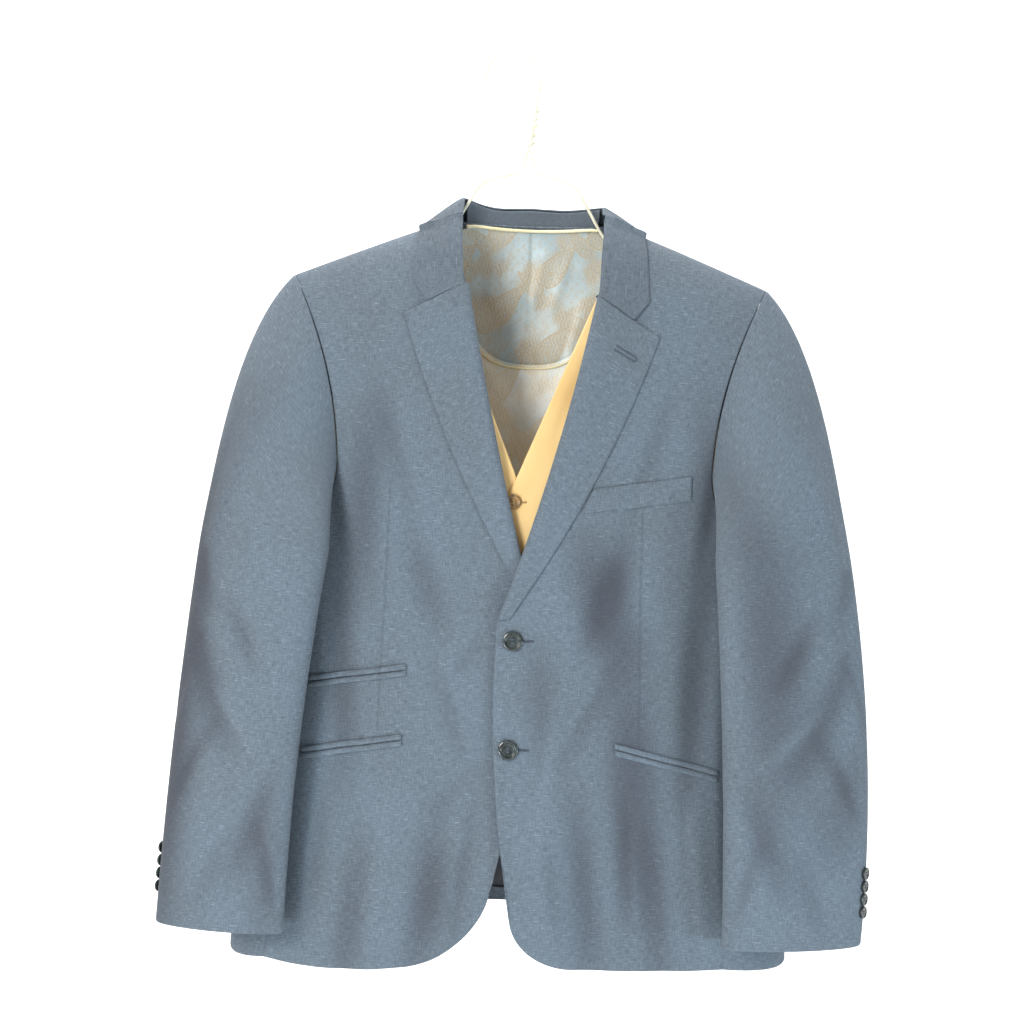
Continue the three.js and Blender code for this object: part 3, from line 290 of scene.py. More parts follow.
def trough(rows, x, z):
    depth = np.zeros(np.broadcast(x, z).shape)
    for row in rows:
        run_x, run_z = row["x1"] - row["x0"], row["z1"] - row["z0"]
        t = ((x - row["x0"]) * run_x + (z - row["z0"]) * run_z) / (run_x**2 + run_z**2)
        side = ((x - row["x0"]) * run_z - (z - row["z0"]) * run_x) / math.hypot(run_x, run_z)
        off = side / row["wide"]
        off = np.abs(off * (1 + row.get("lean", 0) * np.sign(off)))
        inside = (t > 0) & (t < 1) & (off < 1)
        shape = np.cos(np.clip(off, 0, 1) * math.pi / 2) ** 2 * np.sin(np.clip(t, 0, 1) * math.pi)
        depth = depth + np.where(inside, row["deep"] * shape, 0)
    return depth


def half_width(z):
    return along(BODY, "z", z, "half")


def body_face(angle, z):
    """Outer face at an angle round the body: 0 in front, 90 at the side, 180 behind."""
    angle, z = np.broadcast_arrays(np.asarray(angle, float), np.asarray(z, float))
    turn = np.radians(angle)
    x = half_width(z) * np.sin(turn)
    flat = np.abs(np.cos(turn)) ** SIDE_POWER
    below = ridge(x) - z
    front = (along(BODY, "z", z, "front") - trough(FOLDS_FRONT, x, z)) * rounded(below / FALL_FRONT)
    back = (along(BODY, "z", z, "back") - trough(FOLDS_BACK, x, z)) * rounded(below / FALL_BACK)
    y = np.where(np.abs(angle) <= 90, -front, back) * flat
    return np.stack([x, y, z], axis=-1)


def unit(vectors):
    return vectors / np.maximum(np.linalg.norm(vectors, axis=-1, keepdims=True), 1e-9)


def body_normal(angle, z):
    angle, z = np.broadcast_arrays(np.asarray(angle, float), np.asarray(z, float))
    across = body_face(angle + 0.3, z) - body_face(angle - 0.3, z)
    up = body_face(angle, z + 0.5) - body_face(angle, z - 0.5)
    free = unit(np.cross(across, up))
    x = half_width(z) * np.sin(np.radians(angle))
    on_top = unit(np.stack([RIDGE_SLOPE * x / np.hypot(x, RIDGE_ROUND), 0 * x, 1 + 0 * x], axis=-1))
    near = smooth(0.2, 6, ridge(x) - z)[..., None]
    return unit(on_top * (1 - near) + free * near)


def fine_creases(angle, x, z):
    behind = np.abs(np.asarray(angle, float)) > 90
    return np.where(behind, trough(CREASES_BACK, x, z), trough(CREASES_FRONT, x, z))


def painted_shade_depth(angle, z):
    """Painted shade of the cloth at a place: its depth in folds, creases and broad shade patches, in
    millimetres.
    """
    x = half_width(z) * np.sin(np.radians(angle))
    behind = np.abs(np.asarray(angle, float)) > 90
    large = FOLD_SHADE * np.where(behind, trough(FOLDS_BACK, x, z), trough(FOLDS_FRONT, x, z))
    broad = np.where(behind, 0, trough(SHADE_PATCHES_FRONT, x, z))
    return large + broad + fine_creases(angle, x, z)


def on_body(angle, z, lift=0.0, creased=1.0):
    p = body_face(angle, z)
    n = body_normal(angle, z)
    fine = fine_creases(angle, p[..., 0], z) * creased
    return p + n * (np.asarray(lift, float) - fine)[..., None]


def angle_at(x, z, behind=False):
    angle = np.degrees(np.arcsin(np.clip(x / half_width(z), -1, 1)))
    return np.where(np.asarray(x) >= 0, 180 - angle, -180 - angle) if behind else angle


def lap(side, x):
    """The left front laps over the right one, so each is set off the body near the middle."""
    return LAP[side] * (1 - smooth(*LAP_REACH, np.abs(x)))


def on_front(x, z, lift=0.0, creased=1.0):
    return on_body(angle_at(x, z), z, lift, creased)


def on_back(x, z, lift=0.0, creased=1.0):
    return on_body(angle_at(x, z, True), z, lift, creased)


print("chest", round(2 * float(half_width(-315))), "mm across,", "depth",
      round(float(on_back(0.0, -315)[1] - on_front(0.0, -315)[1])), "mm")

# %% [markdown]
# How a sheet is made. A flat grid stands for the cut piece; its rows and columns crowd at the border,
# where the cloth turns under, and its points are then laid on the form. The grain is kept in a UV map
# measured in metres, so that the weave has one scale on every piece. Solidify gives the cloth its
# thickness afterwards. A closed block with bumps would look the same from in front, while a sheet with
# a wall has a hem, an edge and an inside to see.

# %% Cloth sheets
# Distance in from the edge, and how far the cloth has sunk there.
TURN_UNDER = ((0.0, 1.1), (0.9, 0.4), (2.2, 0.08))
TURN_CLEAR = 1.4
SMOOTH_UP_TO = math.radians(50)


def spaced(count, length, power=1.0):
    """Places from 0 to 1 with extra ones close to both ends, for the turned edge."""
    inner = np.linspace(0, 1, count + 1)
    inner = 1 - (1 - inner) ** power
    close = [step / length for step, _ in TURN_UNDER]
    clear = close[-1] * TURN_CLEAR
    kept = [t for t in inner if clear < t < 1 - clear]
    return np.array(close + kept + [1 - t for t in reversed(close)])


def border_drop(count_u, count_v, free):
    """How far each point of the grid sinks at the turned edges: near, far, foot and head."""
    drop = np.zeros((count_v, count_u))
    for k, (_, sink) in enumerate(TURN_UNDER):
        lines = {"near": drop[:, k], "far": drop[:, -1 - k], "foot": drop[k, :], "head": drop[-1 - k, :]}
        for edge, amount in free.items():
            np.maximum(lines[edge], sink * amount, out=lines[edge])
    return drop


def grid_normals(points, outward):
    across = np.gradient(points, axis=1)
    up = np.gradient(points, axis=0)
    n = unit(np.cross(across, up))
    flip = np.sum(n * outward, axis=-1, keepdims=True) < 0
    return np.where(flip, -n, n)


SEAM_DROP = {"near": 1.0, "far": 1.0, "foot": 1.0, "head": 1.0}
SUIT_SHEET, LAPEL_SHEET, STRIP_SHEET, STAND_SHEET = 1.5, 1.4, 1.3, 1.2
SATIN_SHEET, WAISTCOAT_SHEET = 0.8, 1.3


def looks_forward(points):
    return np.broadcast_to([0.0, -1.0, 0.0], points.shape)


def looks_back(points):
    return np.broadcast_to([0.0, 1.0, 0.0], points.shape)


def lay_grid(name, points, grain, outward, finish, wall, drops=SEAM_DROP, folds=0.0):
    """A grid laid on its points, with the grain as UV, given a wall, turned edges and each point's painted
    shade.
    """
    rows, columns = points.shape[:2]
    normals = grid_normals(points, outward(points))
    laid = points - normals * border_drop(columns, rows, drops)[..., None]
    bpy.ops.object.select_all(action="DESELECT")
    bpy.ops.mesh.primitive_grid_add(x_subdivisions=columns - 1, y_subdivisions=rows - 1, size=1)
    piece = bpy.context.object
    piece.name = piece.data.name = name
    piece.data.vertices.foreach_set("co", to_frame(laid).reshape(-1))
    piece.data.update()
    uv = piece.data.uv_layers[0]
    uv.name = "Grain"
    corners = np.zeros(len(piece.data.loops), dtype=np.int32)
    piece.data.loops.foreach_get("vertex_index", corners)
    uv.data.foreach_set("uv", grain.reshape(-1, 2)[corners].reshape(-1) * MM)
    # Painted shade: each point's shade depth is stored for the suiting, which darkens its colour by it.
    deep = piece.data.attributes.new("Fold", "FLOAT", "POINT")
    deep.data.foreach_set("value", np.broadcast_to(folds, (rows, columns)).astype(np.float32).reshape(-1))
    middle = piece.data.polygons[len(piece.data.polygons) // 2]
    facing = to_frame(laid + normals) - to_frame(laid)
    if np.dot(middle.normal, facing.reshape(-1, 3)[middle.vertices[0]]) < 0:
        piece.data.flip_normals()
    piece.data.materials.append(finish)
    shell = piece.modifiers.new("Wall", "SOLIDIFY")
    shell.thickness = wall * MM
    shell.offset = -1
    shell.use_even_offset = False
    bpy.ops.object.modifier_apply(modifier=shell.name)
    bpy.ops.object.shade_smooth_by_angle(angle=SMOOTH_UP_TO)
    return piece


def surface_area(points):
    a = points[1:, 1:] - points[:-1, :-1]
    b = points[1:, :-1] - points[:-1, 1:]
    return float(np.sum(np.linalg.norm(np.cross(a, b), axis=-1)) / 2)


def girth_table():
    """Distance along the body's outline from the middle of the front, by angle and height."""
    angles = np.linspace(0, 180, 181)
    heights = np.linspace(-800, 40, 85)
    a, z = np.meshgrid(angles, heights)
    points = body_face(a, z)
    steps = np.linalg.norm(np.diff(points[..., :2], axis=1), axis=-1)
    walked = np.concatenate([np.zeros((len(heights), 1)), np.cumsum(steps, axis=1)], axis=1)
    return angles, heights, walked


GIRTH_ANGLES, GIRTH_HEIGHTS, GIRTH_WALKED = girth_table()


def girth(angle, z):
    side = np.where(np.asarray(angle) < 0, -1.0, 1.0)
    a = np.clip(np.abs(angle) / 180 * (len(GIRTH_ANGLES) - 1), 0, len(GIRTH_ANGLES) - 1.001)
    share = (np.asarray(z) - GIRTH_HEIGHTS[0]) / (GIRTH_HEIGHTS[-1] - GIRTH_HEIGHTS[0])
    h = np.clip(share * (len(GIRTH_HEIGHTS) - 1), 0, len(GIRTH_HEIGHTS) - 1.001)
    i, j = a.astype(int), h.astype(int)
    fa, fh = a - i, h - j
    low = GIRTH_WALKED[j, i] * (1 - fa) + GIRTH_WALKED[j, i + 1] * fa
    high = GIRTH_WALKED[j + 1, i] * (1 - fa) + GIRTH_WALKED[j + 1, i + 1] * fa
    return side * (low * (1 - fh) + high * fh)


def grain_of(angle, z):
    return np.stack(np.broadcast_arrays(girth(angle, z), z), axis=-1)


# %% [markdown]
# Shader maths. A small class wraps a node socket, so that a pattern can be written as a formula, and one
# method adds every other node. The cloths read their grain from the UV map.

# %% Shader helpers
class Value:
    def __init__(self, finish, link):
        self.finish, self.link = finish, link

    def _math(self, operation, other=None, swap=False):
        values = [self, other] if not swap else [other, self]
        node = self.finish.tree.nodes.new("ShaderNodeMath")
        node.operation = operation
        for k, value in enumerate(values):
            if isinstance(value, Value):
                self.finish.tree.links.new(value.link, node.inputs[k])
            elif value is not None:
                node.inputs[k].default_value = value
        return Value(self.finish, node.outputs[0])

    def __add__(self, other): return self._math("ADD", other)
    def __radd__(self, other): return self._math("ADD", other)
    def __sub__(self, other): return self._math("SUBTRACT", other)
    def __rsub__(self, other): return self._math("SUBTRACT", other, swap=True)
    def __mul__(self, other): return self._math("MULTIPLY", other)
    def __rmul__(self, other): return self._math("MULTIPLY", other)
    def __truediv__(self, other): return self._math("DIVIDE", other)
    def sin(self): return self._math("SINE")
    def cos(self): return self._math("COSINE")
    def fract(self): return self._math("FRACT")
    def floor(self): return self._math("FLOOR")
    def abs(self): return self._math("ABSOLUTE")
    def sqrt(self): return self._math("SQRT")
    def least(self, other): return self._math("MINIMUM", other)
    def most(self, other): return self._math("MAXIMUM", other)
    def modulo(self, other): return self._math("FLOORED_MODULO", other)
    def above(self, other): return self._math("GREATER_THAN", other)

    def ramp(self, low, high, first=0.0, last=1.0):
        """A smooth step from one value to another."""
        node = self.finish.node("ShaderNodeMapRange", {"interpolation_type": "SMOOTHSTEP"},
                                Value=self, From_Min=low, From_Max=high, To_Min=first, To_Max=last)
        return Value(self.finish, node.outputs[0])


class Finish:
    """A material whose main shader's settings are its own, and whose nodes come from one method."""

    def __init__(self, name, **settings):
        self.material = bpy.data.materials.new(name)
        self.material.use_nodes = True
        self.tree = self.material.node_tree
        self.shader = self.tree.nodes["Principled BSDF"]
        for key, value in settings.items():
            self.shader.inputs[key.replace("_", " ")].default_value = value

    def node(self, kind, settings=None, **inputs):
        made = self.tree.nodes.new(kind)
        for key, value in (settings or {}).items():
            setattr(made, key, value)
        for key, value in inputs.items():
            self.feed(made.inputs[key.replace("_", " ")], value)
        return made

    def feed(self, socket, value):
        if isinstance(value, Value):
            value = value.link
        if isinstance(value, bpy.types.NodeSocket):
            self.tree.links.new(value, socket)
        else:
            socket.default_value = value

    def set(self, name, value):
        self.feed(self.shader.inputs[name], value)

    def grain(self):
        """Across and along the cloth, in millimetres."""
        uv = self.node("ShaderNodeUVMap", {"uv_map": "Grain"})
        split = self.node("ShaderNodeSeparateXYZ", Vector=uv.outputs[0])
        return Value(self, split.outputs[0]) * 1000, Value(self, split.outputs[1]) * 1000

    def point(self, x, y, z=0.0):
        return self.node("ShaderNodeCombineXYZ", X=x, Y=y, Z=z).outputs[0]

    def noise(self, vector, scale, detail=2.0, roughness=0.5):
        node = self.node("ShaderNodeTexNoise", None, Vector=vector, Scale=scale, Detail=detail,
                         Roughness=roughness)
        return Value(self, node.outputs[0])

    def blend(self, factor, first, second):
        node = self.node("ShaderNodeMix", {"data_type": "RGBA"})
        self.feed(node.inputs["Factor"], factor)
        for key, colour in (("A", first), ("B", second)):
            socket = [s for s in node.inputs if s.name == key and s.type == "RGBA"][0]
            self.feed(socket, colour if not isinstance(colour, tuple) else (*colour, 1.0))
        return [s for s in node.outputs if s.type == "RGBA"][0]

    def bump(self, height, distance, strength=1.0, below=None):
        node = self.node("ShaderNodeBump", None, Height=height, Distance=distance, Strength=strength)
        if below is not None:
            self.tree.links.new(below, node.inputs["Normal"])
        return node.outputs[0]


def srgb(red, green, blue):
    """A colour as read off a colour card, 0 to 255, as the linear values that shaders use."""
    shares = [value / 255 for value in (red, green, blue)]
    return tuple(s / 12.92 if s <= 0.04045 else ((s + 0.055) / 1.055) ** 2.4 for s in shares)


# %% [markdown]
# The suiting is a dry cloth of two blues. Its weft has slubs: short stretches of thick pale yarn that
# run across the piece, with fainter ones along it. Fine yarns are noise that is stretched along
# its thread, which reads as weave without a drawn grid. An image of cloth would repeat or blur. Shade
# is painted into the colour in the folds, creases and broad shade patches, a touch lighter on ridges,
# because soft light alone hardly shows such shallow ones.

# %% Suiting
DARTS = {1: ((118, -293), (122, -527)), -1: ((-132, -278), (-137, -517))}
DART_LINE = (0.5, 2.2)


def dart_line(finish, u, v, side):
    """A fine pressed line from one end of a dart to the other, drawn on the cloth's own grain."""
    (x0, z0), (x1, z1) = DARTS[side]
    u0, u1 = (float(girth(angle_at(x, z), z)) for x, z in ((x0, z0), (x1, z1)))
    off = (u - (v - z0) * ((u1 - u0) / (z1 - z0)) - u0).abs().ramp(*DART_LINE, 1.0, 0.0)
    return off * v.above(z1) * (1.0 - v.above(z0))


def suiting():
    finish = Finish("suit_cloth", Roughness=0.86, Sheen_Weight=0.10, Sheen_Roughness=0.5,
                    Specular_IOR_Level=0.25)
    u, v = finish.grain()
    weft = finish.noise(finish.point(u * 0.14, v * 1.1), 1.0, 3.0, 0.62)
    warp = finish.noise(finish.point(u * 1.1, v * 0.13, 4.0), 1.0, 3.0, 0.6)
    slub = finish.noise(finish.point(u * 0.10, v * 0.75, 9.0), 1.0, 1.0, 0.5).ramp(0.60, 0.80)
    slub_up = finish.noise(finish.point(u * 0.75, v * 0.09, 15.0), 1.0, 1.0, 0.5).ramp(0.62, 0.82)
    yarn = finish.noise(finish.point(u * 1.1, v * 1.1, 2.0), 1.0, 2.0, 0.7)
    patchy = finish.noise(finish.point(u * 0.011, v * 0.008, 21.0), 1.0, 2.0, 0.5)
    # Painted shade: a point attribute holds each point's depth in folds, creases and shade patches.
    deep = Value(finish, finish.node("ShaderNodeAttribute", {"attribute_name": "Fold"}).outputs["Fac"])
    base = finish.blend(patchy.ramp(0.32, 0.68), srgb(90, 100, 110), srgb(98, 111, 124))
    threads = (weft - 0.5) * 0.9 + (warp - 0.5) * 0.75 + (yarn - 0.5) * 0.5
    light = finish.blend((threads + 0.5).ramp(0.14, 0.86), srgb(64, 72, 80), srgb(126, 139, 151))
    cloth = finish.blend(0.6, base, light)
    pale = finish.blend((slub * 0.36 + slub_up * 0.22).least(0.5), cloth, srgb(160, 173, 184))
    # Painted shade: the colour is drawn toward a dark grey as that depth grows.
    painted_fold_shade = finish.blend(deep.ramp(-1.0, 5.5) * 0.76, pale, srgb(58, 58, 66))
    darts = dart_line(finish, u, v, 1) + dart_line(finish, u, v, -1)
    finish.set("Base Color", finish.blend(darts * 0.24, painted_fold_shade, srgb(62, 68, 76)))
    finish.set("Roughness", 0.92 - slub * 0.12)
    height = threads + slub * 0.5 + slub_up * 0.3 - darts
    finish.set("Normal", finish.bump(height, 0.00035, 0.5))
    return finish.material


def plain_cloth(name, dark, light, roughness, pitch=0.8, sheen=0.0):
    finish = Finish(name, Roughness=roughness, Sheen_Weight=sheen)
    u, v = finish.grain()
    yarn = finish.noise(finish.point(u * pitch, v * pitch * 1.4), 1.0, 2.0, 0.6)
    broad = finish.noise(finish.point(u * 0.02, v * 0.014, 5.0), 1.0, 2.0, 0.5)
    tone = (yarn * 0.45 + broad * 0.55).ramp(0.3, 0.7)
    finish.set("Base Color", finish.blend(tone, dark, light))
    finish.set("Roughness", roughness + (yarn - 0.5) * 0.12)
    finish.set("Normal", finish.bump(yarn, 0.0002, 0.4))
    return finish.material


# %% [markdown]
# The lining and the waistcoat's back are a satin with a woven paisley. Each motif is a drop whose tip
# curls over: its middle line bends, and its width is a half oval that closes to the tip. Two contours,
# a row of dots, a small flower and fine scrolls fill it. The repeat is a half drop, with smaller motifs
# turned over between the large ones, and more gold scrolls drift over all of it. An image would be
# simpler, but formulas stay sharp at any size. Below a set height the lining's colour fades to a plain
# dark navy: painted shade for the deep shadow inside the lower back.

# %% Paisley satin
# Painted shade: the plain dark navy that the lining's lower part fades to.
LOW_SHADE_NAVY = srgb(24, 32, 48)
SHADE_FADE = 4


def paisley(name, ground_dark, ground_light, gold_dark, gold_light, strength, repeat=(52.0, 82.0),
            foot=None):
    finish = Finish(name, Roughness=0.34, Specular_IOR_Level=0.6, Sheen_Weight=0.15)
    u, v = finish.grain()
    wide, tall = repeat

    def motif(shift_u, shift_v, size, turned):
        column = ((u + shift_u) / wide).floor()
        x = ((u + shift_u) / wide).fract() - 0.5
        y = ((v + shift_v + column.modulo(2.0) * (tall / 2)) / tall).fract() - 0.5
        x, y = x * (wide / size), y * (tall / size)
        lean = 0.5 if turned else -0.4
        x, y = x * math.cos(lean) + y * math.sin(lean), y * math.cos(lean) - x * math.sin(lean)
        if turned:
            x = x * -1.0
        rise = (y + 0.55) / 1.15
        inside = rise.most(0.0).least(1.0)
        bend = x - (inside * inside) * 0.30 + 0.08
        width = (inside * (1.0 - inside)).sqrt() * (1.0 - inside * 0.72) * 0.86
        edge = width - bend.abs()
        beyond = (rise - 0.5).abs() - 0.5
        field = edge.least(beyond * -1.0)
        contour = (field - 0.035).abs().ramp(0.012, 0.038, 1.0, 0.0)
        inner = (field - 0.125).abs().ramp(0.006, 0.024, 1.0, 0.0)
        dots = ((rise * 46.0).sin() * 0.5 + 0.5).ramp(0.35, 0.75)
        rim = (field - 0.082).abs().ramp(0.010, 0.03, 1.0, 0.0) * dots
        turn_x, turn_y = bend * 8.0, (rise - 0.3) * 9.0
        reach = (turn_x * turn_x + turn_y * turn_y).sqrt()
        petal = (turn_x * 3.0).cos() * (turn_y * 3.0).cos()
        flower = reach.ramp(1.0, 1.6, 1.0, 0.0) * (petal * 0.5 + 0.5).ramp(0.3, 0.7)
        fill = field.ramp(0.0, 0.02)
        return (contour * 0.75).most(inner * 0.6).most(rim * 0.7).most(flower * 0.7), fill

    large, large_fill = motif(0.0, 0.0, tall * 0.56, False)
    small, small_fill = motif(wide * 0.5, tall * 0.22, tall * 0.36, True)
    small = small * (1.0 - large_fill)
    scrolls = ((u * 1.7 + (v * 0.42).sin() * 2.2).sin() * 0.5 + 0.5).ramp(0.3, 0.7)
    filled = large_fill.most(small_fill) * (scrolls * 0.4 + 0.3)
    wave = (v * 0.21 + (u * 0.15).sin() * 1.4).sin().abs().ramp(0.0, 0.16, 1.0, 0.0)
    leaf = ((u * 0.55).sin() * (v * 0.5 + (u * 0.11).sin()).sin()).ramp(0.45, 0.62)
    ground_marks = (wave * 0.35).most(leaf * 0.25) * (1.0 - large_fill) * (1.0 - small_fill)
    drift = finish.noise(finish.point(u * 0.035, v * 0.028, 13.0), 1.0, 2.0, 0.5).ramp(0.42, 0.6)
    marks = large.most(small).most(ground_marks).most(filled).most(drift * (scrolls * 0.4 + 0.4)) * strength
    weave = finish.noise(finish.point(u * 0.25, v * 2.2), 1.0, 2.0, 0.6)
    broad = finish.noise(finish.point(u * 0.02, v * 0.016, 7.0), 1.0, 2.0, 0.5)
    ground = finish.blend((broad * 0.6 + weave * 0.4).ramp(0.3, 0.7), ground_dark, ground_light)
    gold = finish.blend(weave.ramp(0.3, 0.7), gold_dark, gold_light)
    woven = finish.blend(marks.least(1.0), ground, gold)
    # Painted shade: below the foot the colour fades to dark navy.
    if foot is not None:
        woven = finish.blend(v.ramp(foot - SHADE_FADE, foot, 1.0, 0.0), woven, LOW_SHADE_NAVY)
    finish.set("Base Color", woven)
    finish.set("Roughness", 0.30 + marks * 0.25 + (weave - 0.5) * 0.1)
    finish.set("Normal", finish.bump(marks * 0.8 + weave * 0.4, 0.00025, 0.5))
    return finish.material


LINING_SHADE_TOP = -560
SUIT = suiting()
LINING = paisley("paisley_lining", srgb(150, 170, 178), srgb(208, 218, 218), srgb(158, 130, 86),
                 srgb(208, 182, 134), 0.9, foot=LINING_SHADE_TOP)
SATIN = paisley("waistcoat_satin", srgb(206, 220, 224), srgb(252, 254, 252), srgb(204, 178, 128),
                srgb(242, 226, 188), 0.75)
TAN = plain_cloth("tan_cloth", srgb(226, 184, 118), srgb(246, 212, 150), 0.7, 0.9, 0.2)
PIPING = plain_cloth("cream_piping", srgb(214, 202, 158), srgb(244, 234, 200), 0.5)
print("cloths", [m.name for m in (SUIT, LINING, SATIN, TAN, PIPING)])

# %% [markdown]
# The jacket's fronts. The cut of each one is a few named places: the break where the lapel starts to
# roll, the gorge where it meets the collar, the quarter round at the foot of the edge, the hem, the
# side seam and the armhole. A panel could be cut from a plane with a knife, but a grid stretched
# between its four edges keeps each edge on its line and its rows along the cloth.

# %% Cut of the fronts
SIDES = {1: "left", -1: "right"}
FRONT_CUT = {
    1: dict(break_at=(-22, -405), quarter_from=(-1, -690), edge_bow=-9, across=71, tall=56,
            squareness=2.2, hem_end=(214, -745.5), hem_sag=-1),
    -1: dict(break_at=(-9, -375), quarter_from=(20, -670), edge_bow=-13, across=88, tall=81,
             squareness=1.7, hem_end=(244, -750.5), hem_sag=-5),
}
LAPEL = {
    1: dict(gorge=(65, -83), roll_bow=6.5, foot=(-10, -404), tip=(129, -121), belly=12),
    -1: dict(gorge=(61, -72.5), roll_bow=3, foot=(4, -372), tip=(124.5, -104.5), belly=9),
}
ROLL_INSET = 4
NECK_FRONT = (75, -30)
SIDE_SEAM = ((211, -430), (205, -303))
BACK_SEAM = ((225, HEM_BACK), (210, -430), (212, -285))
ARMHOLE = {"front": (187, -258), "back": (208, -250)}
ARMHOLE_FLOOR = -318
ARMHOLE_SAG = (SIDE_SEAM[-1][1] + BACK_SEAM[-1][1]) / 2 - ARMHOLE_FLOOR
CROWD = 1.5


def crowded(v):
    return 1 - (1 - v) ** CROWD


def roll_line(side, inset=0.0):
    line = bowed(FRONT_CUT[side]["break_at"], LAPEL[side]["gorge"], LAPEL[side]["roll_bow"])
    return lambda t: (line(t)[0] + inset * np.minimum(1, 6 * np.asarray(t)), line(t)[1])


def front_hem(side):
    cut = FRONT_CUT[side]
    x, z = cut["quarter_from"]
    power = 2 / cut["squareness"]

    def round_corner(t):
        turn = np.asarray(t) * math.pi / 2
        return (x + cut["across"] * (1 - np.clip(np.cos(turn), 0, 1) ** power),
                z - cut["tall"] * np.sin(turn) ** power)

    level = bowed((x + cut["across"], z - cut["tall"]), cut["hem_end"], 0, cut["hem_sag"])
    return path_of(np.concatenate([places_on(round_corner, 12), places_on(level, 4)[1:]]))


def armhole_half(face):
    inner, at = ARMHOLE[face]
    foot = SIDE_SEAM[-1] if face == "front" else BACK_SEAM[-1]
    head = float(ridge(SHOULDER_HALF))

    def curve(t):
        z = mix(foot[1], head, np.asarray(t, dtype=float))
        low = inner + (foot[0] - inner) * ((z - at) / (foot[1] - at)) ** 2
        high = inner + (SHOULDER_HALF - inner) * ((z - at) / (head - at)) ** 2
        return np.where(z < at, low, high), z
    return path_of(places_on(curve, 10))


def side_seam(side):
    return path_of([FRONT_CUT[side]["hem_end"], *SIDE_SEAM])


back_seam = path_of(BACK_SEAM)


def shoulder_line(u):
    x = mix(NECK_HALF, SHOULDER_HALF, np.asarray(u, dtype=float))
    return x, ridge(x)


def front_outline(side):
    cut = FRONT_CUT[side]
    neck_point = (NECK_HALF, float(ridge(NECK_HALF)))
    roll = path_of([*places_on(roll_line(side, ROLL_INSET), 8), NECK_FRONT, neck_point])
    near = joined(bowed(cut["quarter_from"], cut["break_at"], cut["edge_bow"]), roll, 0.4)
    far = joined(side_seam(side), armhole_half("front"), 0.62)
    return patch(front_hem(side), shoulder_line, near, far)


def outward_from_axis(points):
    out = points.copy()
    out[..., 0] *= 0.35
    out[..., 2] = 0
    return unit(out)


def under_ridge(x, z):
    return np.minimum(z, ridge(x))


# A folded strip's cut is at least this wide, since its edges turn under.
SHORTEST_SHEET = 10.0


def declare(piece, points):
    """Puts a sheet on the root body, in place of its solid, and prints the size of what shows of it."""
    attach(piece, "root")
    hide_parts(piece.name.replace("cloth_", ""))
    area = surface_area(points)
    middle = points[:, points.shape[1] // 2]
    length = float(np.sum(np.linalg.norm(np.diff(middle, axis=0), axis=-1)))
    width = float(np.linalg.norm(np.diff(points, axis=1), axis=-1).sum(axis=1).max())
    length = max(length, area / width, SHORTEST_SHEET)
    print(piece.name, "cut", round(width), "by", round(length), "mm, faces", len(piece.data.polygons))
    return piece


# %% Fronts, sides and backs
def lay_uv(spot, u_places, v_places):
    u, v = np.meshgrid(u_places, v_places)
    return spot(u, v)


def jacket_front(side):
    x, z = lay_uv(front_outline(side), spaced(84, 260), spaced(150, 720, CROWD))
    z = under_ridge(x, z)
    points = on_front(side * x, z, lap(side, x))
    grain = grain_of(angle_at(side * x, z), z)
    piece = lay_grid(f"cloth_jacket_front_{SIDES[side]}", points, grain, outward_from_axis, SUIT,
                     SUIT_SHEET, folds=painted_shade_depth(angle_at(side * x, z), z))
    return declare(piece, points)


def jacket_side(side):
    seam, back = side_seam(side), back_seam

    def near(v):
        x, z = seam(v)
        return angle_at(x, z), z

    def far(v):
        x, z = back(v)
        return angle_at(x, z, True), z

    def span(v):
        return lambda u: (mix(near(v)[0], far(v)[0], u), mix(near(v)[1], far(v)[1], u))

    def floor(u):
        angle, z = span(1.0)(np.asarray(u, dtype=float))
        return angle, z - 4 * u * (1 - u) * ARMHOLE_SAG

    def hem(u):
        angle, z = span(0.0)(np.asarray(u, dtype=float))
        return angle, z - 4 * u * (1 - u) * SIDE_HEM_SAG

    angle, z = lay_uv(patch(hem, floor, near, far), spaced(30, 130), spaced(100, 440))
    points = on_body(side * angle, z)
    piece = lay_grid(f"cloth_jacket_side_{SIDES[side]}", points, grain_of(side * angle, z),
                     outward_from_axis, SUIT, SUIT_SHEET, folds=painted_shade_depth(side * angle, z))
    return declare(piece, points)


def back_neck_z(x):
    return mix(BACK_NECK, float(ridge(NECK_HALF)), (np.abs(x) / NECK_HALF) ** 3)


def back_neck_line(u):
    x = mix(0, NECK_HALF, np.asarray(u, dtype=float))
    return x, back_neck_z(x)


def jacket_back(side):
    def hem(u):
        return np.asarray(u) * BACK_SEAM[0][0], HEM_BACK + 0 * np.asarray(u, dtype=float)

    def middle(v):
        return 0 * np.asarray(v, dtype=float), mix(HEM_BACK, BACK_NECK, np.asarray(v, dtype=float))

    head = joined(back_neck_line, shoulder_line, 0.34)
    spot = patch(hem, head, middle, joined(back_seam, armhole_half("back"), 0.64))
    x, z = lay_uv(spot, spaced(66, 225), spaced(120, 700, CROWD))
    z = under_ridge(x, z)
    points = on_back(side * x, z)
    grain = grain_of(angle_at(side * np.maximum(x, 0.01), z, True), z)
    piece = lay_grid(f"cloth_jacket_back_{SIDES[side]}", points, grain, outward_from_axis, SUIT, SUIT_SHEET,
                     folds=painted_shade_depth(angle_at(side * np.maximum(x, 0.01), z, True), z))
    return declare(piece, points)


for side in SIDES:
    jacket_front(side)
    jacket_side(side)
    jacket_back(side)

# %% [markdown]
# The sleeves. Each is two pieces, a top sleeve and an under sleeve, set into the armhole. The
# armhole is walked as one closed line from the shoulder point; the sleeve leaves it along a curve
# that turns over the sleeve head and then hangs straight, with its own flat oval section. A bent
# cylinder would pinch where it meets the body, so the sleeve grows out of the seam that holds it.

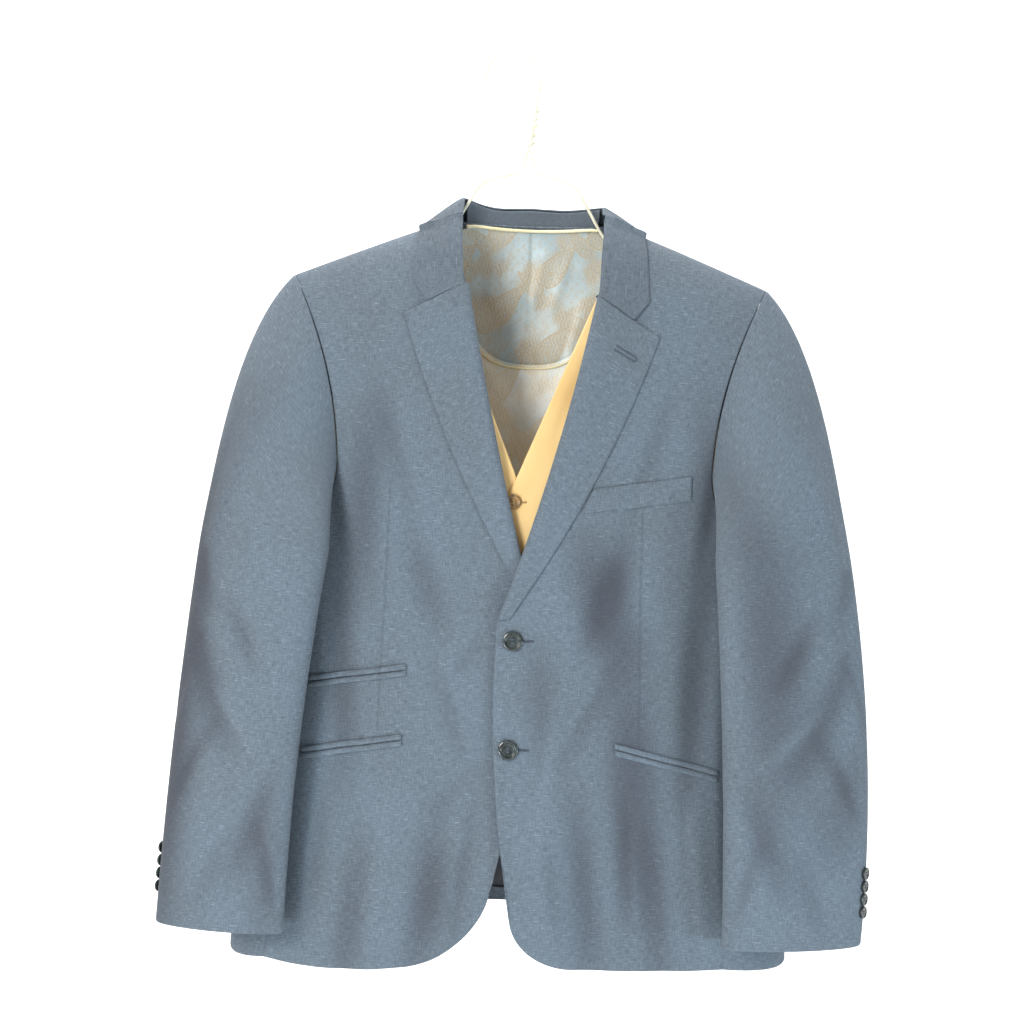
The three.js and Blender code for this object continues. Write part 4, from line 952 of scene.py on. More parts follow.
# %% Sleeves
SLEEVE = {
    1: dict(top=dict(z=-345, outer=328, inner=188, y=-71, deep=32, turn=20),
            cuff=dict(z=-716, outer=350, inner=208, y=-63, deep=23, turn=15),
            bow=dict(outer=11.5, inner=3.5)),
    -1: dict(top=dict(z=-345, outer=320.5, inner=188, y=-68, deep=32, turn=20),
             cuff=dict(z=-716, outer=350.5, inner=220, y=-63, deep=23, turn=15),
             bow=dict(outer=3, inner=6)),
}
# The turn is 0 at the shoulder point, 90 in front, 180 under the arm and 270 behind.
SLEEVE_HEAD = table(
    "turn meets x y z",
    (0, 0, 0.72, 0, -0.69),
    (50, 42, 0.72, -0.5, -0.48),
    (95, 96, 0.55, -0.78, -0.3),
    (119, 168, 0.06, -0.75, -0.65),
    (148, 215, 0.25, -0.96, -0.1),
    (184, 280, 1, -0.2, 0),
    (222, 316, 0.95, 0.3, -0.1),
    (290, 336, 0.82, 0.4, -0.4),
    (360, 360, 0.72, 0, -0.69),
)
FORE_SEAM, HIND_TOP = 187, -36
HIND_CUFF = {1: 8, -1: -20}
SLEEVE_FOLDS = table(
    "turn z0 z1 swing wide deep",
    (70, -400, -560, 60, 26, 5),
    (120, -540, -690, -50, 24, 4),
    (40, -300, -420, 50, 24, 3.5),
    (250, -420, -600, 30, 30, 4),
)
SLEEVE_CREASES = table(
    "turn z0 z1 swing wide deep",
    (95, -380, -470, 40, 16, 2.2),
    (60, -500, -600, -45, 16, 2.0),
    (100, -470, -545, 60, 14, -1.6),
    (35, -420, -520, -40, 15, 1.8),
    (140, -600, -700, 30, 15, 1.8),
    (85, -610, -712, -30, 15, 1.6),
    (225, -360, -500, 40, 20, 2.4),
    (285, -480, -620, -30, 20, 2.2),
    (205, -560, -690, 20, 18, 2.0),
)
# Painted shade: broad patches that only darken the sleeves' colour.
SLEEVE_SHADE_PATCHES = {
    1: table("turn z0 z1 swing wide deep", (118, -210, -640, -20, 50, 3.4), (60, -500, -660, 30, 40, 2.0)),
    -1: table("turn z0 z1 swing wide deep", (18, -150, -800, 10, 62, 6.5), (140, -560, -760, 0, 40, 2.0)),
}
HEAD_SHARE = 0.42
HEAD_PULL = 0.8
HEAD_STEP = 6
HEAD_COLUMNS = (-4, 12)
SWING_SHARE = 0.6
WRAPS_AFTER = 320
SEAM_GAP = 0.3


def wrapped(place):
    """Places round the armhole run past the shoulder point from the far side."""
    return np.where(place > WRAPS_AFTER, place - 360, place)


def armhole_ring(side):
    front, back = armhole_half("front"), armhole_half("back")
    steps = np.linspace(0, 1, 121)
    x, z = front(1 - steps**2)
    angles, heights = [angle_at(x, z)], [z]
    (front_x, front_z), (back_x, back_z) = SIDE_SEAM[-1], BACK_SEAM[-1]
    u = steps[1:-1]
    angles.append(mix(angle_at(front_x, front_z), angle_at(back_x, back_z, True), u))
    heights.append(mix(front_z, back_z, u) - 4 * u * (1 - u) * ARMHOLE_SAG)
    x, z = back(1 - (1 - steps) ** 2)
    angles.append(angle_at(x, z, True))
    heights.append(z)
    angle, z = np.concatenate(angles), np.concatenate(heights)
    x = half_width(z) * np.sin(np.radians(angle))
    points = on_body(side * angle, under_ridge(x, z))
    walked = np.concatenate([[0], np.cumsum(np.linalg.norm(np.diff(points, axis=0), axis=-1))])

    def ring(turn):
        at = (np.asarray(turn) % 360) / 360 * walked[-1]
        return np.stack([np.interp(at, walked, points[:, k]) for k in range(3)], axis=-1)
    return ring


def sleeve_press(rows, turn, z):
    press = 0 * z
    for row in rows:
        t = (z - row["z0"]) / (row["z1"] - row["z0"])
        middle = row["turn"] + row["swing"] * (t - 0.5)
        off = np.abs((turn - middle + 180) % 360 - 180) / row["wide"]
        shape = np.cos(np.clip(off, 0, 1) * math.pi / 2) ** 2 * np.sin(np.clip(t, 0, 1) * math.pi)
        press = press + np.where((t > 0) & (t < 1) & (off < 1), row["deep"] * shape, 0)
    return press


def sleeve_section(side, turn, z):
    turn, z = np.broadcast_arrays(np.asarray(turn, float), np.asarray(z, float))
    top, cuff, bow = (SLEEVE[side][key] for key in ("top", "cuff", "bow"))
    t = (z - top["z"]) / (cuff["z"] - top["z"])
    bulge = 4 * np.clip(t, 0, 1) * (1 - np.clip(t, 0, 1))
    outer, inner, y, deep, tilt = (mix(top[key], cuff[key], t) + bulge * bow.get(key, 0)
                                   for key in ("outer", "inner", "y", "deep", "turn"))
    tilt = np.radians(tilt)
    seen = (outer - inner) / 2
    wide = np.sqrt(seen**2 - (deep * np.sin(tilt)) ** 2) / np.cos(tilt)
    press = sleeve_press(SLEEVE_FOLDS, turn, z)
    a = np.radians(turn)
    reach = np.cos(a) * wide
    rise = np.sin(a) * (deep - press)
    x = (outer + inner) / 2 + reach * np.cos(tilt) + rise * np.sin(tilt)
    y = y + reach * np.sin(tilt) - rise * np.cos(tilt)
    return np.stack([side * x, y, z], axis=-1)


def head_rows():
    def shifted(row, by):
        return {**row, "turn": row["turn"] + by, "meets": row["meets"] + by}
    rows = [shifted(SLEEVE_HEAD[-2], -360), *SLEEVE_HEAD, shifted(SLEEVE_HEAD[1], 360)]
    return [{**row, "place": (row["turn"] + row["meets"]) / 2} for row in rows]


SLEEVE_PLACES = head_rows()


def sleeve_point(side, ring, place, v):
    place, v = np.broadcast_arrays(np.asarray(place, float), np.asarray(v, float))
    at = wrapped(place)
    meets, turn = (along(SLEEVE_PLACES, "place", at, key) for key in ("meets", "turn"))
    top, cuff = SLEEVE[side]["top"]["z"], SLEEVE[side]["cuff"]["z"]
    low = sleeve_section(side, meets, mix(top, cuff, np.maximum(v - HEAD_SHARE, 0) / (1 - HEAD_SHARE)))
    leave_x, leave_y, leave_z = (along(SLEEVE_PLACES, "place", at, key) for key in "xyz")
    leave = unit(np.stack([side * leave_x, leave_y, leave_z], axis=-1))
    start = ring(turn) + leave * SEAM_GAP
    end = sleeve_section(side, meets, np.full_like(meets, top))
    reach = np.linalg.norm(end - start, axis=-1, keepdims=True)
    down = unit(sleeve_section(side, meets, np.full_like(meets, top - HEAD_STEP)) - end)
    s = np.minimum(v / HEAD_SHARE, 1)[..., None]
    head = (start * (2 * s**3 - 3 * s**2 + 1) + leave * reach * HEAD_PULL * (s**3 - 2 * s**2 + s)
            + end * (3 * s**2 - 2 * s**3) + down * reach * HEAD_PULL * (s**3 - s**2))
    return np.where((v > HEAD_SHARE)[..., None], low, head)


def own_grain(points, aside):
    """Grain of a piece by its own lengths: across from its middle column, and down that column."""
    across = np.cumsum(np.linalg.norm(np.diff(points, axis=1), axis=-1), axis=1)
    across = np.concatenate([np.zeros((len(points), 1)), across], axis=1)
    middle = points.shape[1] // 2
    down = np.cumsum(np.linalg.norm(np.diff(points[:, middle], axis=0), axis=-1))
    down = np.concatenate([[0], down])[:, None] + 0 * across
    return np.stack([across - across[:, middle:middle + 1] + aside, -down], axis=-1)


SLEEVE_GRAIN = 1200


def sleeve_piece(name, side, places, v):
    ring = armhole_ring(side)
    place = places(v)
    grid_v = v[:, None] + 0 * place
    points = sleeve_point(side, ring, place, grid_v)
    round_it = sleeve_point(side, ring, place + 1.5, grid_v) - sleeve_point(side, ring, place - 1.5, grid_v)
    down = (sleeve_point(side, ring, place, np.minimum(grid_v + 0.01, 1))
            - sleeve_point(side, ring, place, np.maximum(grid_v - 0.01, 0)))
    normal = unit(np.cross(round_it, down)) * side
    meets = along(SLEEVE_PLACES, "place", wrapped(place), "meets")
    creases = sleeve_press(SLEEVE_CREASES, meets, points[..., 2])
    points = points - normal * creases[..., None]
    pressed = sleeve_press(SLEEVE_FOLDS, meets, points[..., 2]) * (grid_v > HEAD_SHARE)
    # Painted shade: the sleeve's creases, folds and shade patches, as depth for its colour.
    folds = creases + pressed * FOLD_SHADE + sleeve_press(SLEEVE_SHADE_PATCHES[side], meets, points[..., 2])
    piece = lay_grid(name, points, own_grain(points, SLEEVE_GRAIN), lambda _: normal, SUIT, SUIT_SHEET,
                     folds=folds)
    return declare(piece, points)


def sleeve(side):
    v = spaced(150, 640)

    def swing(v):
        return smooth(0, SWING_SHARE, v)

    def top_places(v):
        u = spaced(76, 320)
        column = mix(*HEAD_COLUMNS, u)
        head = np.sign(column) * -HIND_TOP * np.abs(column / 4) ** 1.5
        even = mix(HIND_CUFF[side], FORE_SEAM, u)
        return mix(head[None, :], even[None, :], swing(v)[:, None])

    def under_places(v):
        hind = mix(HIND_TOP, HIND_CUFF[side], swing(v)) + 360
        return mix(FORE_SEAM, hind[:, None], spaced(40, 180)[None, :])

    sleeve_piece(f"cloth_sleeve_top_{SIDES[side]}", side, top_places, v)
    sleeve_piece(f"cloth_sleeve_under_{SIDES[side]}", side, under_places, v)


for side in SIDES:
    sleeve(side)

# %% [markdown]
# Lapels and collar. A lapel is the front turned back over its roll line: it stands up softly at the
# roll, settles on the chest and thins at its edge. The collar's fall turns over a fold line round the
# neck, and at each end it stops short of the lapel's tip, which leaves the notch. A turn of the
# front's own grid would crowd its rows at the roll, so each lapel is a sheet of its own.

# %% Lapels
ROLL = dict(clear=1.1, tall=5, per_width=0.12, turn=8, settle=(0.1, 0.95), sink=1.5, narrow=(14, 44))
LAPEL_GRAIN = 1600
LAPEL_CROWD = 1.4
LAPEL_CREASED = 0.4
LAPEL_RIPPLE = dict(tall=0.5, waves=9)


def roll_height(start, width):
    """Height of a rolled edge over the cloth beneath it, from the roll outward."""
    rest = SUIT_WALL + ROLL["clear"]
    tall = np.minimum(ROLL["tall"], ROLL["per_width"] * width)
    turned_over = rounded(start / ROLL["turn"])
    settled = 1 - smooth(*ROLL["settle"], start / np.maximum(width, 0.01))
    drop = (rest + ROLL["sink"]) * (1 - turned_over) * smooth(*ROLL["narrow"], width)
    return rest + tall * settled * turned_over - drop


def lapel(side):
    roll = roll_line(side)
    outer = bowed(LAPEL[side]["foot"], LAPEL[side]["tip"], LAPEL[side]["belly"])
    u, v = np.meshgrid(spaced(34, 60) ** LAPEL_CROWD, spaced(110, 330))
    (ax, az), (bx, bz) = roll(v), outer(v)
    width = np.hypot(bx - ax, bz - az)
    x, z = mix(ax, bx, u), mix(az, bz, u)
    ripple = LAPEL_RIPPLE["tall"] * np.sin(v * LAPEL_RIPPLE["waves"] + side) * np.sin(u * math.pi)
    lift = lap(side, x) + roll_height(u * width, width) + ripple
    points = on_front(side * x, z, lift, LAPEL_CREASED)
    grain = np.stack([side * u * width + LAPEL_GRAIN, v * 330], axis=-1)
    piece = lay_grid(f"cloth_lapel_{SIDES[side]}", points, grain, looks_forward, SUIT, LAPEL_SHEET)
    return declare(piece, points)


for side in SIDES:
    lapel(side)

# %% Collar
COLLAR = table(
    "at fold_x fold_z fold_y edge_x edge_z behind",
    (0, 64, -76, -50, 118, -76, 0),
    (0.16, 68.5, -45, -43, 116, -47, 0),
    (0.32, 70.5, -13, -27, 113, -21, 0),
    (0.5, 70, 16.5, 1, 112, -13, 0.5),
    (0.66, 60, 17.5, 17, 97, -20, 1),
    (0.84, 34, 16.5, 28, 54, -30, 1),
    (1, 0, 18, 32, 0, -33, 1),
)
COLLAR_PEAK = dict(at=0.5, reach=0.34, rise={1: 0, -1: 5})
COLLAR_ARCH = 2.7
COLLAR_END = dict(notch=0.7, reach=0.2, gap=0.7, corner={1: -85, -1: -68})
COLLAR_REST = SUIT_WALL + 1.6
# Painted shade: the collar's fall and stand are drawn darker than the fronts, for the shade round the neck.
COLLAR_SHADE = dict(fall=1.2, stand=2.6)
COLLAR_GRAIN = dict(half=205, down=48)
COLLAR_FRONT_Y = -20
STAND = dict(reach=0.49, inside=3.2, under=3.6, clear=-1.6, sunk=0.4, across=420, tall=26)


def by_side(side, left, right):
    return np.where((side > 0)[..., None], left, right)


def rest_on_body(points, side):
    """Lifts what would sink into the jacket, straight off the cloth beneath it."""
    for _ in range(2):
        x, y, z = points[..., 0], points[..., 1], points[..., 2]
        level = np.minimum(z, ridge(x) - 1)
        angle = np.where(y > 0, angle_at(x, level, True), angle_at(x, level))
        under = on_body(angle, level, np.where(y > 0, 0.0, lap(side, np.abs(x))), 0)
        normal = body_normal(angle, level)
        gap = np.sum((points - under) * normal, axis=-1)
        points = points + normal * np.maximum(COLLAR_REST - gap, 0)[..., None]
    return points


def collar_fold(share):
    at = 1 - np.abs(share)
    side = np.where(share < 0, -1.0, 1.0)
    peak = 1 - smooth(0, COLLAR_PEAK["reach"], np.abs(at - COLLAR_PEAK["at"]))
    rise = np.where(side > 0, COLLAR_PEAK["rise"][1], COLLAR_PEAK["rise"][-1]) * peak
    fold_x, fold_y, fold_z = (along(COLLAR, "at", at, key) for key in ("fold_x", "fold_y", "fold_z"))
    fold = np.stack([side * fold_x, fold_y, fold_z + rise], axis=-1)
    edge_x = along(COLLAR, "at", at, "edge_x")
    edge_z = np.minimum(along(COLLAR, "at", at, "edge_z"), ridge(edge_x))
    behind = along(COLLAR, "at", at, "behind") > 0.5
    angle = np.where(behind, angle_at(side * edge_x, edge_z, True), angle_at(side * edge_x, edge_z))
    return fold, on_body(angle, edge_z, COLLAR_REST, 0), at, side


def collar_end(side, x, s):
    """The collar's end lies along the lapel's top to the notch, then turns up to its corner."""
    (gorge_x, gorge_z), (tip_x, tip_z) = LAPEL[side]["gorge"], LAPEL[side]["tip"]
    notch = COLLAR_END["notch"]

    def top_of_lapel(at):
        return mix(gorge_z, tip_z, (at - gorge_x) / (tip_x - gorge_x)) + COLLAR_END["gap"]

    notch_z = top_of_lapel(mix(COLLAR[0]["fold_x"], COLLAR[0]["edge_x"], notch))
    turned_up = mix(notch_z, COLLAR_END["corner"][side], (s - notch) / (1 - notch))
    z = np.where(s < notch, top_of_lapel(x), turned_up)
    return on_front(side * x, z, lap(side, x) + roll_height(x - gorge_x, tip_x - gorge_x), 0)


def collar_fall():
    s, v = np.meshgrid(spaced(30, 50), spaced(170, 420))
    share = 2 * v - 1
    fold, edge, at, side = collar_fold(share)
    away = unit(fold * np.array([1.0, 1.0, 0.0]))
    arch = np.sin(math.pi * np.sqrt(np.clip(s, 0, 1))) * COLLAR_ARCH
    points = mix(fold, edge, s[..., None]) + away * arch[..., None]
    points = by_side(side, rest_on_body(points, 1), rest_on_body(points, -1))
    x = np.abs(points[..., 0])
    ending = (1 - smooth(0, COLLAR_END["reach"], at))[..., None]
    points = mix(points, by_side(side, collar_end(1, x, s), collar_end(-1, x, s)), ending)

    def outward(p):
        y = np.where(p[..., 1] < COLLAR_FRONT_Y, -2 * NECK_HALF, p[..., 1] * 2)
        return unit(np.stack([p[..., 0], y, NECK_HALF + 0 * y], axis=-1))

    grain = np.stack([share * COLLAR_GRAIN["half"] + LAPEL_GRAIN, -s * COLLAR_GRAIN["down"]], axis=-1)
    piece = lay_grid("cloth_collar_fall", points, grain, outward, SUIT, LAPEL_SHEET,
                     folds=COLLAR_SHADE["fall"])
    return declare(piece, points)


def collar_stand():
    u, v = np.meshgrid(spaced(8, 26), spaced(90, 190))
    share = (2 * v - 1) * STAND["reach"]
    fold = collar_fold(share)[0]
    inward = unit(np.stack([-fold[..., 0], -fold[..., 1], 0 * share], axis=-1))
    top = fold + inward * STAND["inside"]
    top[..., 2] = fold[..., 2] - STAND["under"]
    foot = on_back(top[..., 0], back_neck_z(top[..., 0]), -STAND["sunk"], 0)
    foot = np.stack([top[..., 0], foot[..., 1], foot[..., 2] + STAND["clear"]], axis=-1)
    points = mix(top, foot, (1 - u)[..., None])
    grain = np.stack([share * STAND["across"] + LAPEL_GRAIN, u * STAND["tall"]], axis=-1)
    piece = lay_grid("cloth_collar_stand", points, grain, lambda _: inward, SUIT, STAND_SHEET,
                     folds=COLLAR_SHADE["stand"])
    return declare(piece, points)


collar_fall()
collar_stand()

# %% [markdown]
# Pockets. The chest pocket has a slanted welt; the side pockets, one more on the wearer's right, are
# jetted: two narrow folded strips meet along a slit. All of them lie on the front and follow it.
# The slit could be cut through the front, but nothing shows in it, so the strips only leave a gap.

# %% Pockets
JET = dict(tall=5.2, pitch=6.5, plump=0.9)
POCKET_LIFT = 2.4
JET_DROP = {"near": 0.8, "far": 0.8}
BREAST_WELT = dict(side=1, x=68.5, z=-273, across=97.5, drop=-16, tall=25, slant=11.5)
JETTED_POCKETS = {
    "ticket": dict(side=-1, x=110, z=-452, across=97, drop=16),
    "hip_right": dict(side=-1, x=112, z=-521, across=100, drop=18),
    "hip_left": dict(side=1, x=98, z=-523, across=104, drop=25),
}


def pocket_strip(name, side, x, z, across, drop, tall, slant=0.0, jet=False):
    """A welt turned under at all its edges, or a jet: a narrow plump fold."""
    u, v = np.meshgrid(spaced(60, across), np.linspace(0, 1, 5) if jet else spaced(10, tall))
    spot_x = x + across * u - slant * (1 - v) * (1 - u)
    spot_z = z - drop * u - tall * (1 - v)
    plump = JET["plump"] * (1 - (2 * v - 1) ** 4) * jet
    points = on_front(side * spot_x, spot_z, lap(side, spot_x) + POCKET_LIFT + plump)
    grain = np.stack([side * spot_x, spot_z], axis=-1)
    piece = lay_grid(f"cloth_{name}", points, grain, looks_forward, SUIT, STRIP_SHEET,
                     JET_DROP if jet else SEAM_DROP)
    return declare(piece, points)


pocket_strip("breast_welt", **BREAST_WELT)
for name, pocket in JETTED_POCKETS.items():
    pocket_strip(f"{name}_jet_upper", tall=JET["tall"], jet=True, **pocket)
    lower = {**pocket, "z": pocket["z"] - JET["pitch"]}
    pocket_strip(f"{name}_jet_lower", tall=JET["tall"], jet=True, **lower)

# %% [markdown]
# The lining of the back shows through the open neck. It is thin satin, cut a little too wide so that it
# never pulls, and the spare width hangs in small sharp creases. They are in the mesh and not only in
# the material, so that they catch the light from any side.

# %% Back lining
LINING_DEPTH = SUIT_WALL + 2.4
LINING_EDGE = dict(hem=14, neck=2, ridge=8, sag=30, lift=0.5, creased=0.8)
LINING_SEAM = dict(wide=1.6, deep=0.9)
LINING_HALF = table("z x", (0, NECK_HALF - 4), (-40, 130), (-110, 206), (-250, 200), (-430, 202),
                    (-700, 214))
SATIN_CREASES = table(
    "x0 z0 x1 z1 wide deep lean",
    (-58, -30, -20, -120, 9, 2.0, 0.3),
    (-30, -16, -44, -90, 7, 1.6, -0.3),
    (18, -12, -6, -110, 9, 1.9, 0.3),
    (44, -20, 20, -100, 8, 1.8, -0.3),
    (60, -60, 34, -170, 9, 2.0, 0.3),
    (-64, -80, -30, -190, 10, 2.0, 0.2),
    (-10, -90, 12, -180, 8, 1.5, -0.2),
    (30, -130, -14, -210, 9, 1.7, 0.3),
    (-40, -150, 8, -240, 9, 1.6, 0.3),
    (2, -200, 26, -330, 10, 1.6, -0.3),
    (-26, -220, -16, -360, 9, 1.4, 0.3),
    (52, -180, 40, -300, 10, 1.6, 0.3),
    (0, -8, 4, -60, 6, -1.2, 0.0),
)


NECK_PIPING = dict(half=70, drop=2.6, rise=4.5, radius=1.6, clear=0.3)


def neck_rise(x):
    """The lining's neck line sags: it rises from its middle to each end."""
    return NECK_PIPING["rise"] * np.minimum(np.abs(x) / NECK_PIPING["half"], 1) ** 2


def back_lining():
    edge, line = LINING_EDGE, LINING_SEAM
    low, high = HEM_BACK + edge["hem"], BACK_NECK - edge["neck"]
    u, v = np.meshgrid(spaced(130, 400), spaced(150, 680))
    level = mix(low, high, v)
    half = along(LINING_HALF, "z", level, "x")
    x = mix(-half, half, u)
    level = level + neck_rise(x) * smooth(high - edge["sag"], high, level)
    z = np.minimum(level, ridge(x) - edge["ridge"])
    creases = trough(SATIN_CREASES, x, z) * edge["creased"]
    points = on_back(x, z, -LINING_DEPTH + edge["lift"] - creases, 0)
    points[..., 1] += np.exp(-((x / line["wide"]) ** 2)) * line["deep"]
    piece = lay_grid("cloth_jacket_back_lining", points, np.stack([x, z], axis=-1),
                     looks_back, LINING, SATIN_SHEET)
    return declare(piece, points)


back_lining()

# %% [markdown]
# A cord along a line of points: pipings, hanger wires and threads all use it. Each ring of the tube is
# set square to the line, and the frames are carried along so that they never twist. A curve with a
# bevel gives the same round, but here the mesh also gets its end caps and its grain.

# %% Tubes


def tube(name, points, radius, finish, sides=12):
    points = np.asarray(points, dtype=float)
    tangent = unit(np.gradient(points, axis=0))
    first = np.array([0.0, 1.0, 0.0]) if abs(tangent[0][1]) < 0.9 else np.array([1.0, 0.0, 0.0])
    normal = unit(first - tangent[0] * first.dot(tangent[0]))
    angles = np.linspace(0, 2 * math.pi, sides, endpoint=False)[:, None]
    rings = []
    for p, t in zip(points, tangent):
        normal = unit(normal - t * normal.dot(t))
        other = np.cross(t, normal)
        rings.append(p + radius * (np.cos(angles) * normal + np.sin(angles) * other))
    rings = np.array(rings)
    count = len(points)
    vertices = np.concatenate([rings.reshape(-1, 3), [points[0] - tangent[0] * radius * 0.5],
                               [points[-1] + tangent[-1] * radius * 0.5]])
    faces = []
    for i in range(count - 1):
        for k in range(sides):
            a, b = i * sides + k, i * sides + (k + 1) % sides
            faces.append((a, b, b + sides, a + sides))
    end, tail = count * sides, count * sides + 1
    for k in range(sides):
        faces.append((end, (k + 1) % sides, k))
        faces.append((tail, (count - 1) * sides + k, (count - 1) * sides + (k + 1) % sides))
    mesh = bpy.data.meshes.new(name)
    mesh.from_pydata((vertices * MM).tolist(), [], faces)
    uv = mesh.uv_layers.new(name="Grain")
    walked = np.concatenate([[0], np.cumsum(np.linalg.norm(np.diff(points, axis=0), axis=-1))])
    for loop, place in zip(mesh.loops, uv.data):
        i = loop.vertex_index
        ring = min(i // sides, count - 1) if i < end else (0 if i == end else count - 1)
        place.uv = ((i % sides) / sides * 6.28 * radius * MM, walked[ring] * MM)
    mesh.materials.append(finish)
    piece = bpy.data.objects.new(name, mesh)
    bpy.context.collection.objects.link(piece)
    pick(piece)
    bpy.ops.object.mode_set(mode="EDIT")
    bpy.ops.mesh.select_all(action="SELECT")
    bpy.ops.mesh.normals_make_consistent(inside=False)
    bpy.ops.object.mode_set(mode="OBJECT")
    bpy.ops.object.shade_smooth()
    return piece


def in_frame(points):
    return to_frame(points) / MM


def cordlike(piece, node):
    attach(piece, "root")
    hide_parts(node)
    return piece


def neck_piping():
    x = np.linspace(-NECK_PIPING["half"], NECK_PIPING["half"], 60)
    inside = LINING_DEPTH + SATIN_WALL + NECK_PIPING["radius"] + NECK_PIPING["clear"]
    points = on_back(x, BACK_NECK - NECK_PIPING["drop"] + neck_rise(x), -inside, 0)
    piping = tube("cloth_neck_piping", in_frame(points), NECK_PIPING["radius"], PIPING)
    return cordlike(piping, "neck_piping")


neck_piping()

# %% [markdown]
# The waistcoat hangs inside. Its back is satin, cut low at the neck and edged with piping; its fronts
# are smooth tan cloth and meet in a V, the wearer's left over the right. It is made like the jacket,
# on the same form but further in, so that the two never cross.

# %% Waistcoat
WAISTCOAT = dict(lift=-10, lap=3, lap_reach=(18, 50), middle=-7.5, v_half=104.5, shoulder_half=152,
                 v_point=-265, v_slant=2.33, point=-600, point_x=38, point_rise=46, hem_turn=(150, -554),
                 side_hem=-548, edge={1: 17, -1: 7},
                 back_neck=-144, squareness=3, waist=(248, -430), side_front=262, side_back=252)
WAISTCOAT_ARMHOLE = dict(front_foot=256, back_foot=250, floor=-345, inner=160, inner_at=-195, turn=33,
                         turn_share=0.35)
WAISTCOAT_PIPING = dict(half=66, drop=4, clear=1.6, radius=1.25)
WAISTCOAT_CREASES = table(
    "x0 z0 x1 z1 wide deep lean",
    (70, -120, 20, -250, 14, 1.6, 0.3),
    (96, -90, 60, -260, 12, 1.4, -0.3),
    (-60, -130, -20, -250, 14, 1.5, 0.3),
    (20, -300, 40, -430, 14, 1.4, 0.3),
)


def waistcoat_lift(side, x):
    under = WAISTCOAT["lap"] * (1 - smooth(*WAISTCOAT["lap_reach"], np.abs(x))) if side < 0 else 0 * x
    return WAISTCOAT["lift"] - under


def waistcoat_armhole(foot_x):
    hole, w = WAISTCOAT_ARMHOLE, WAISTCOAT
    turn_z = mix(hole["floor"], hole["inner_at"], hole["turn_share"])
    return [(foot_x, hole["floor"]), (hole["inner"] + hole["turn"], turn_z),
            (hole["inner"], hole["inner_at"]), (w["shoulder_half"], float(ridge(w["shoulder_half"])))]


def waistcoat_front(side):
    w = WAISTCOAT
    shift = side * w["middle"]
    lap_edge = -w["edge"][side]
    neck_x = w["v_half"] + shift
    neck = (neck_x, float(ridge(neck_x)))
    crossing = (lap_edge + shift, w["v_point"] + lap_edge * w["v_slant"])
    foot = (lap_edge + shift, w["point"] + w["point_rise"])
    side_end = (w["side_front"], w["side_hem"])
    near = joined(path_of([foot, crossing]), path_of([crossing, neck]), crowded(0.4))
    hem = path_of([foot, (w["point_x"], w["point"]), w["hem_turn"], side_end])
    far = path_of([side_end, w["waist"], *waistcoat_armhole(WAISTCOAT_ARMHOLE["front_foot"])])

    def shoulder(u):
        x = mix(neck_x, w["shoulder_half"], np.asarray(u, dtype=float))
        return x, ridge(x)

    x, z = lay_uv(patch(hem, shoulder, near, far), spaced(50, 200), spaced(90, 600, CROWD))
    z = under_ridge(x, z)
    lift = waistcoat_lift(side, side * x) - trough(WAISTCOAT_CREASES, side * x, z)
    points = on_front(side * x, z, lift, 0)
    grain = grain_of(angle_at(side * x, z), z)
    piece = lay_grid(f"cloth_waistcoat_front_{SIDES[side]}", points, grain, outward_from_axis, TAN,
                     WAISTCOAT_SHEET)
    return declare(piece, points)


def waistcoat_back_neck(x):
    share = np.clip(np.abs(x) / WAISTCOAT["v_half"], 0, 1)
    return mix(WAISTCOAT["back_neck"], float(ridge(WAISTCOAT["v_half"])), share ** WAISTCOAT["squareness"])


def waistcoat_back():
    w = WAISTCOAT
    half = path_of([(w["side_back"], w["side_hem"]), w["waist"],
                    *waistcoat_armhole(WAISTCOAT_ARMHOLE["back_foot"])])
    u, v = np.meshgrid(spaced(110, 400), spaced(90, 420, CROWD))
    share = 2 * u - 1
    side = np.where(share < 0, -1.0, 1.0)
    edge_x, edge_z = half(v)
    x = np.abs(share) * edge_x
    top_x = np.abs(share) * w["shoulder_half"]
    top = np.where(top_x < w["v_half"], waistcoat_back_neck(top_x), ridge(top_x))
    z = mix(mix(w["side_hem"], top, v), edge_z, np.abs(share) ** 3)
    z = under_ridge(x, z)
    points = on_back(side * x, z, w["lift"] - trough(SATIN_CREASES, side * x, z) * 0.6, 0)
    piece = lay_grid("cloth_waistcoat_back", points, np.stack([side * x, z], axis=-1),
                     looks_back, SATIN, SATIN_SHEET)
    return declare(piece, points)


def waistcoat_piping():
    cord = WAISTCOAT_PIPING
    x = np.linspace(-cord["half"], cord["half"], 70)
    lift = WAISTCOAT["lift"] - SATIN_WALL - cord["clear"]
    points = on_back(x, waistcoat_back_neck(x) - cord["drop"], lift, 0)
    piece = tube("cloth_waistcoat_neck_piping", in_frame(points), cord["radius"], PIPING)
    return cordlike(piece, "waistcoat_neck_piping")


for side in SIDES:
    waistcoat_front(side)
waistcoat_back()
waistcoat_piping()

# %% [markdown]
# Buttons. A disc is turned with a raised rim and a dished middle, four holes are cut through it, and
# two short bars of thread hold it down. A flat disc with a drawn rim would look dead from close by, so
# it is modelled, once for each size, and copied, each copy with its own mesh.

# %% Button finishes


def horn(name, dark, light, rough):
    finish = Finish(name, Roughness=rough, Coat_Weight=0.6, Coat_Roughness=0.12)
    place = finish.node("ShaderNodeTexCoord").outputs["Object"]
    cloud = finish.noise(place, 160.0, 4.0, 0.6)
    finish.set("Base Color", finish.blend(cloud.ramp(0.35, 0.68), dark, light))
    finish.set("Roughness", rough + (cloud - 0.5) * 0.2)
    finish.set("Normal", finish.bump(finish.noise(place, 700.0, 2.0, 0.5), 0.0001, 0.2))
    return finish.material


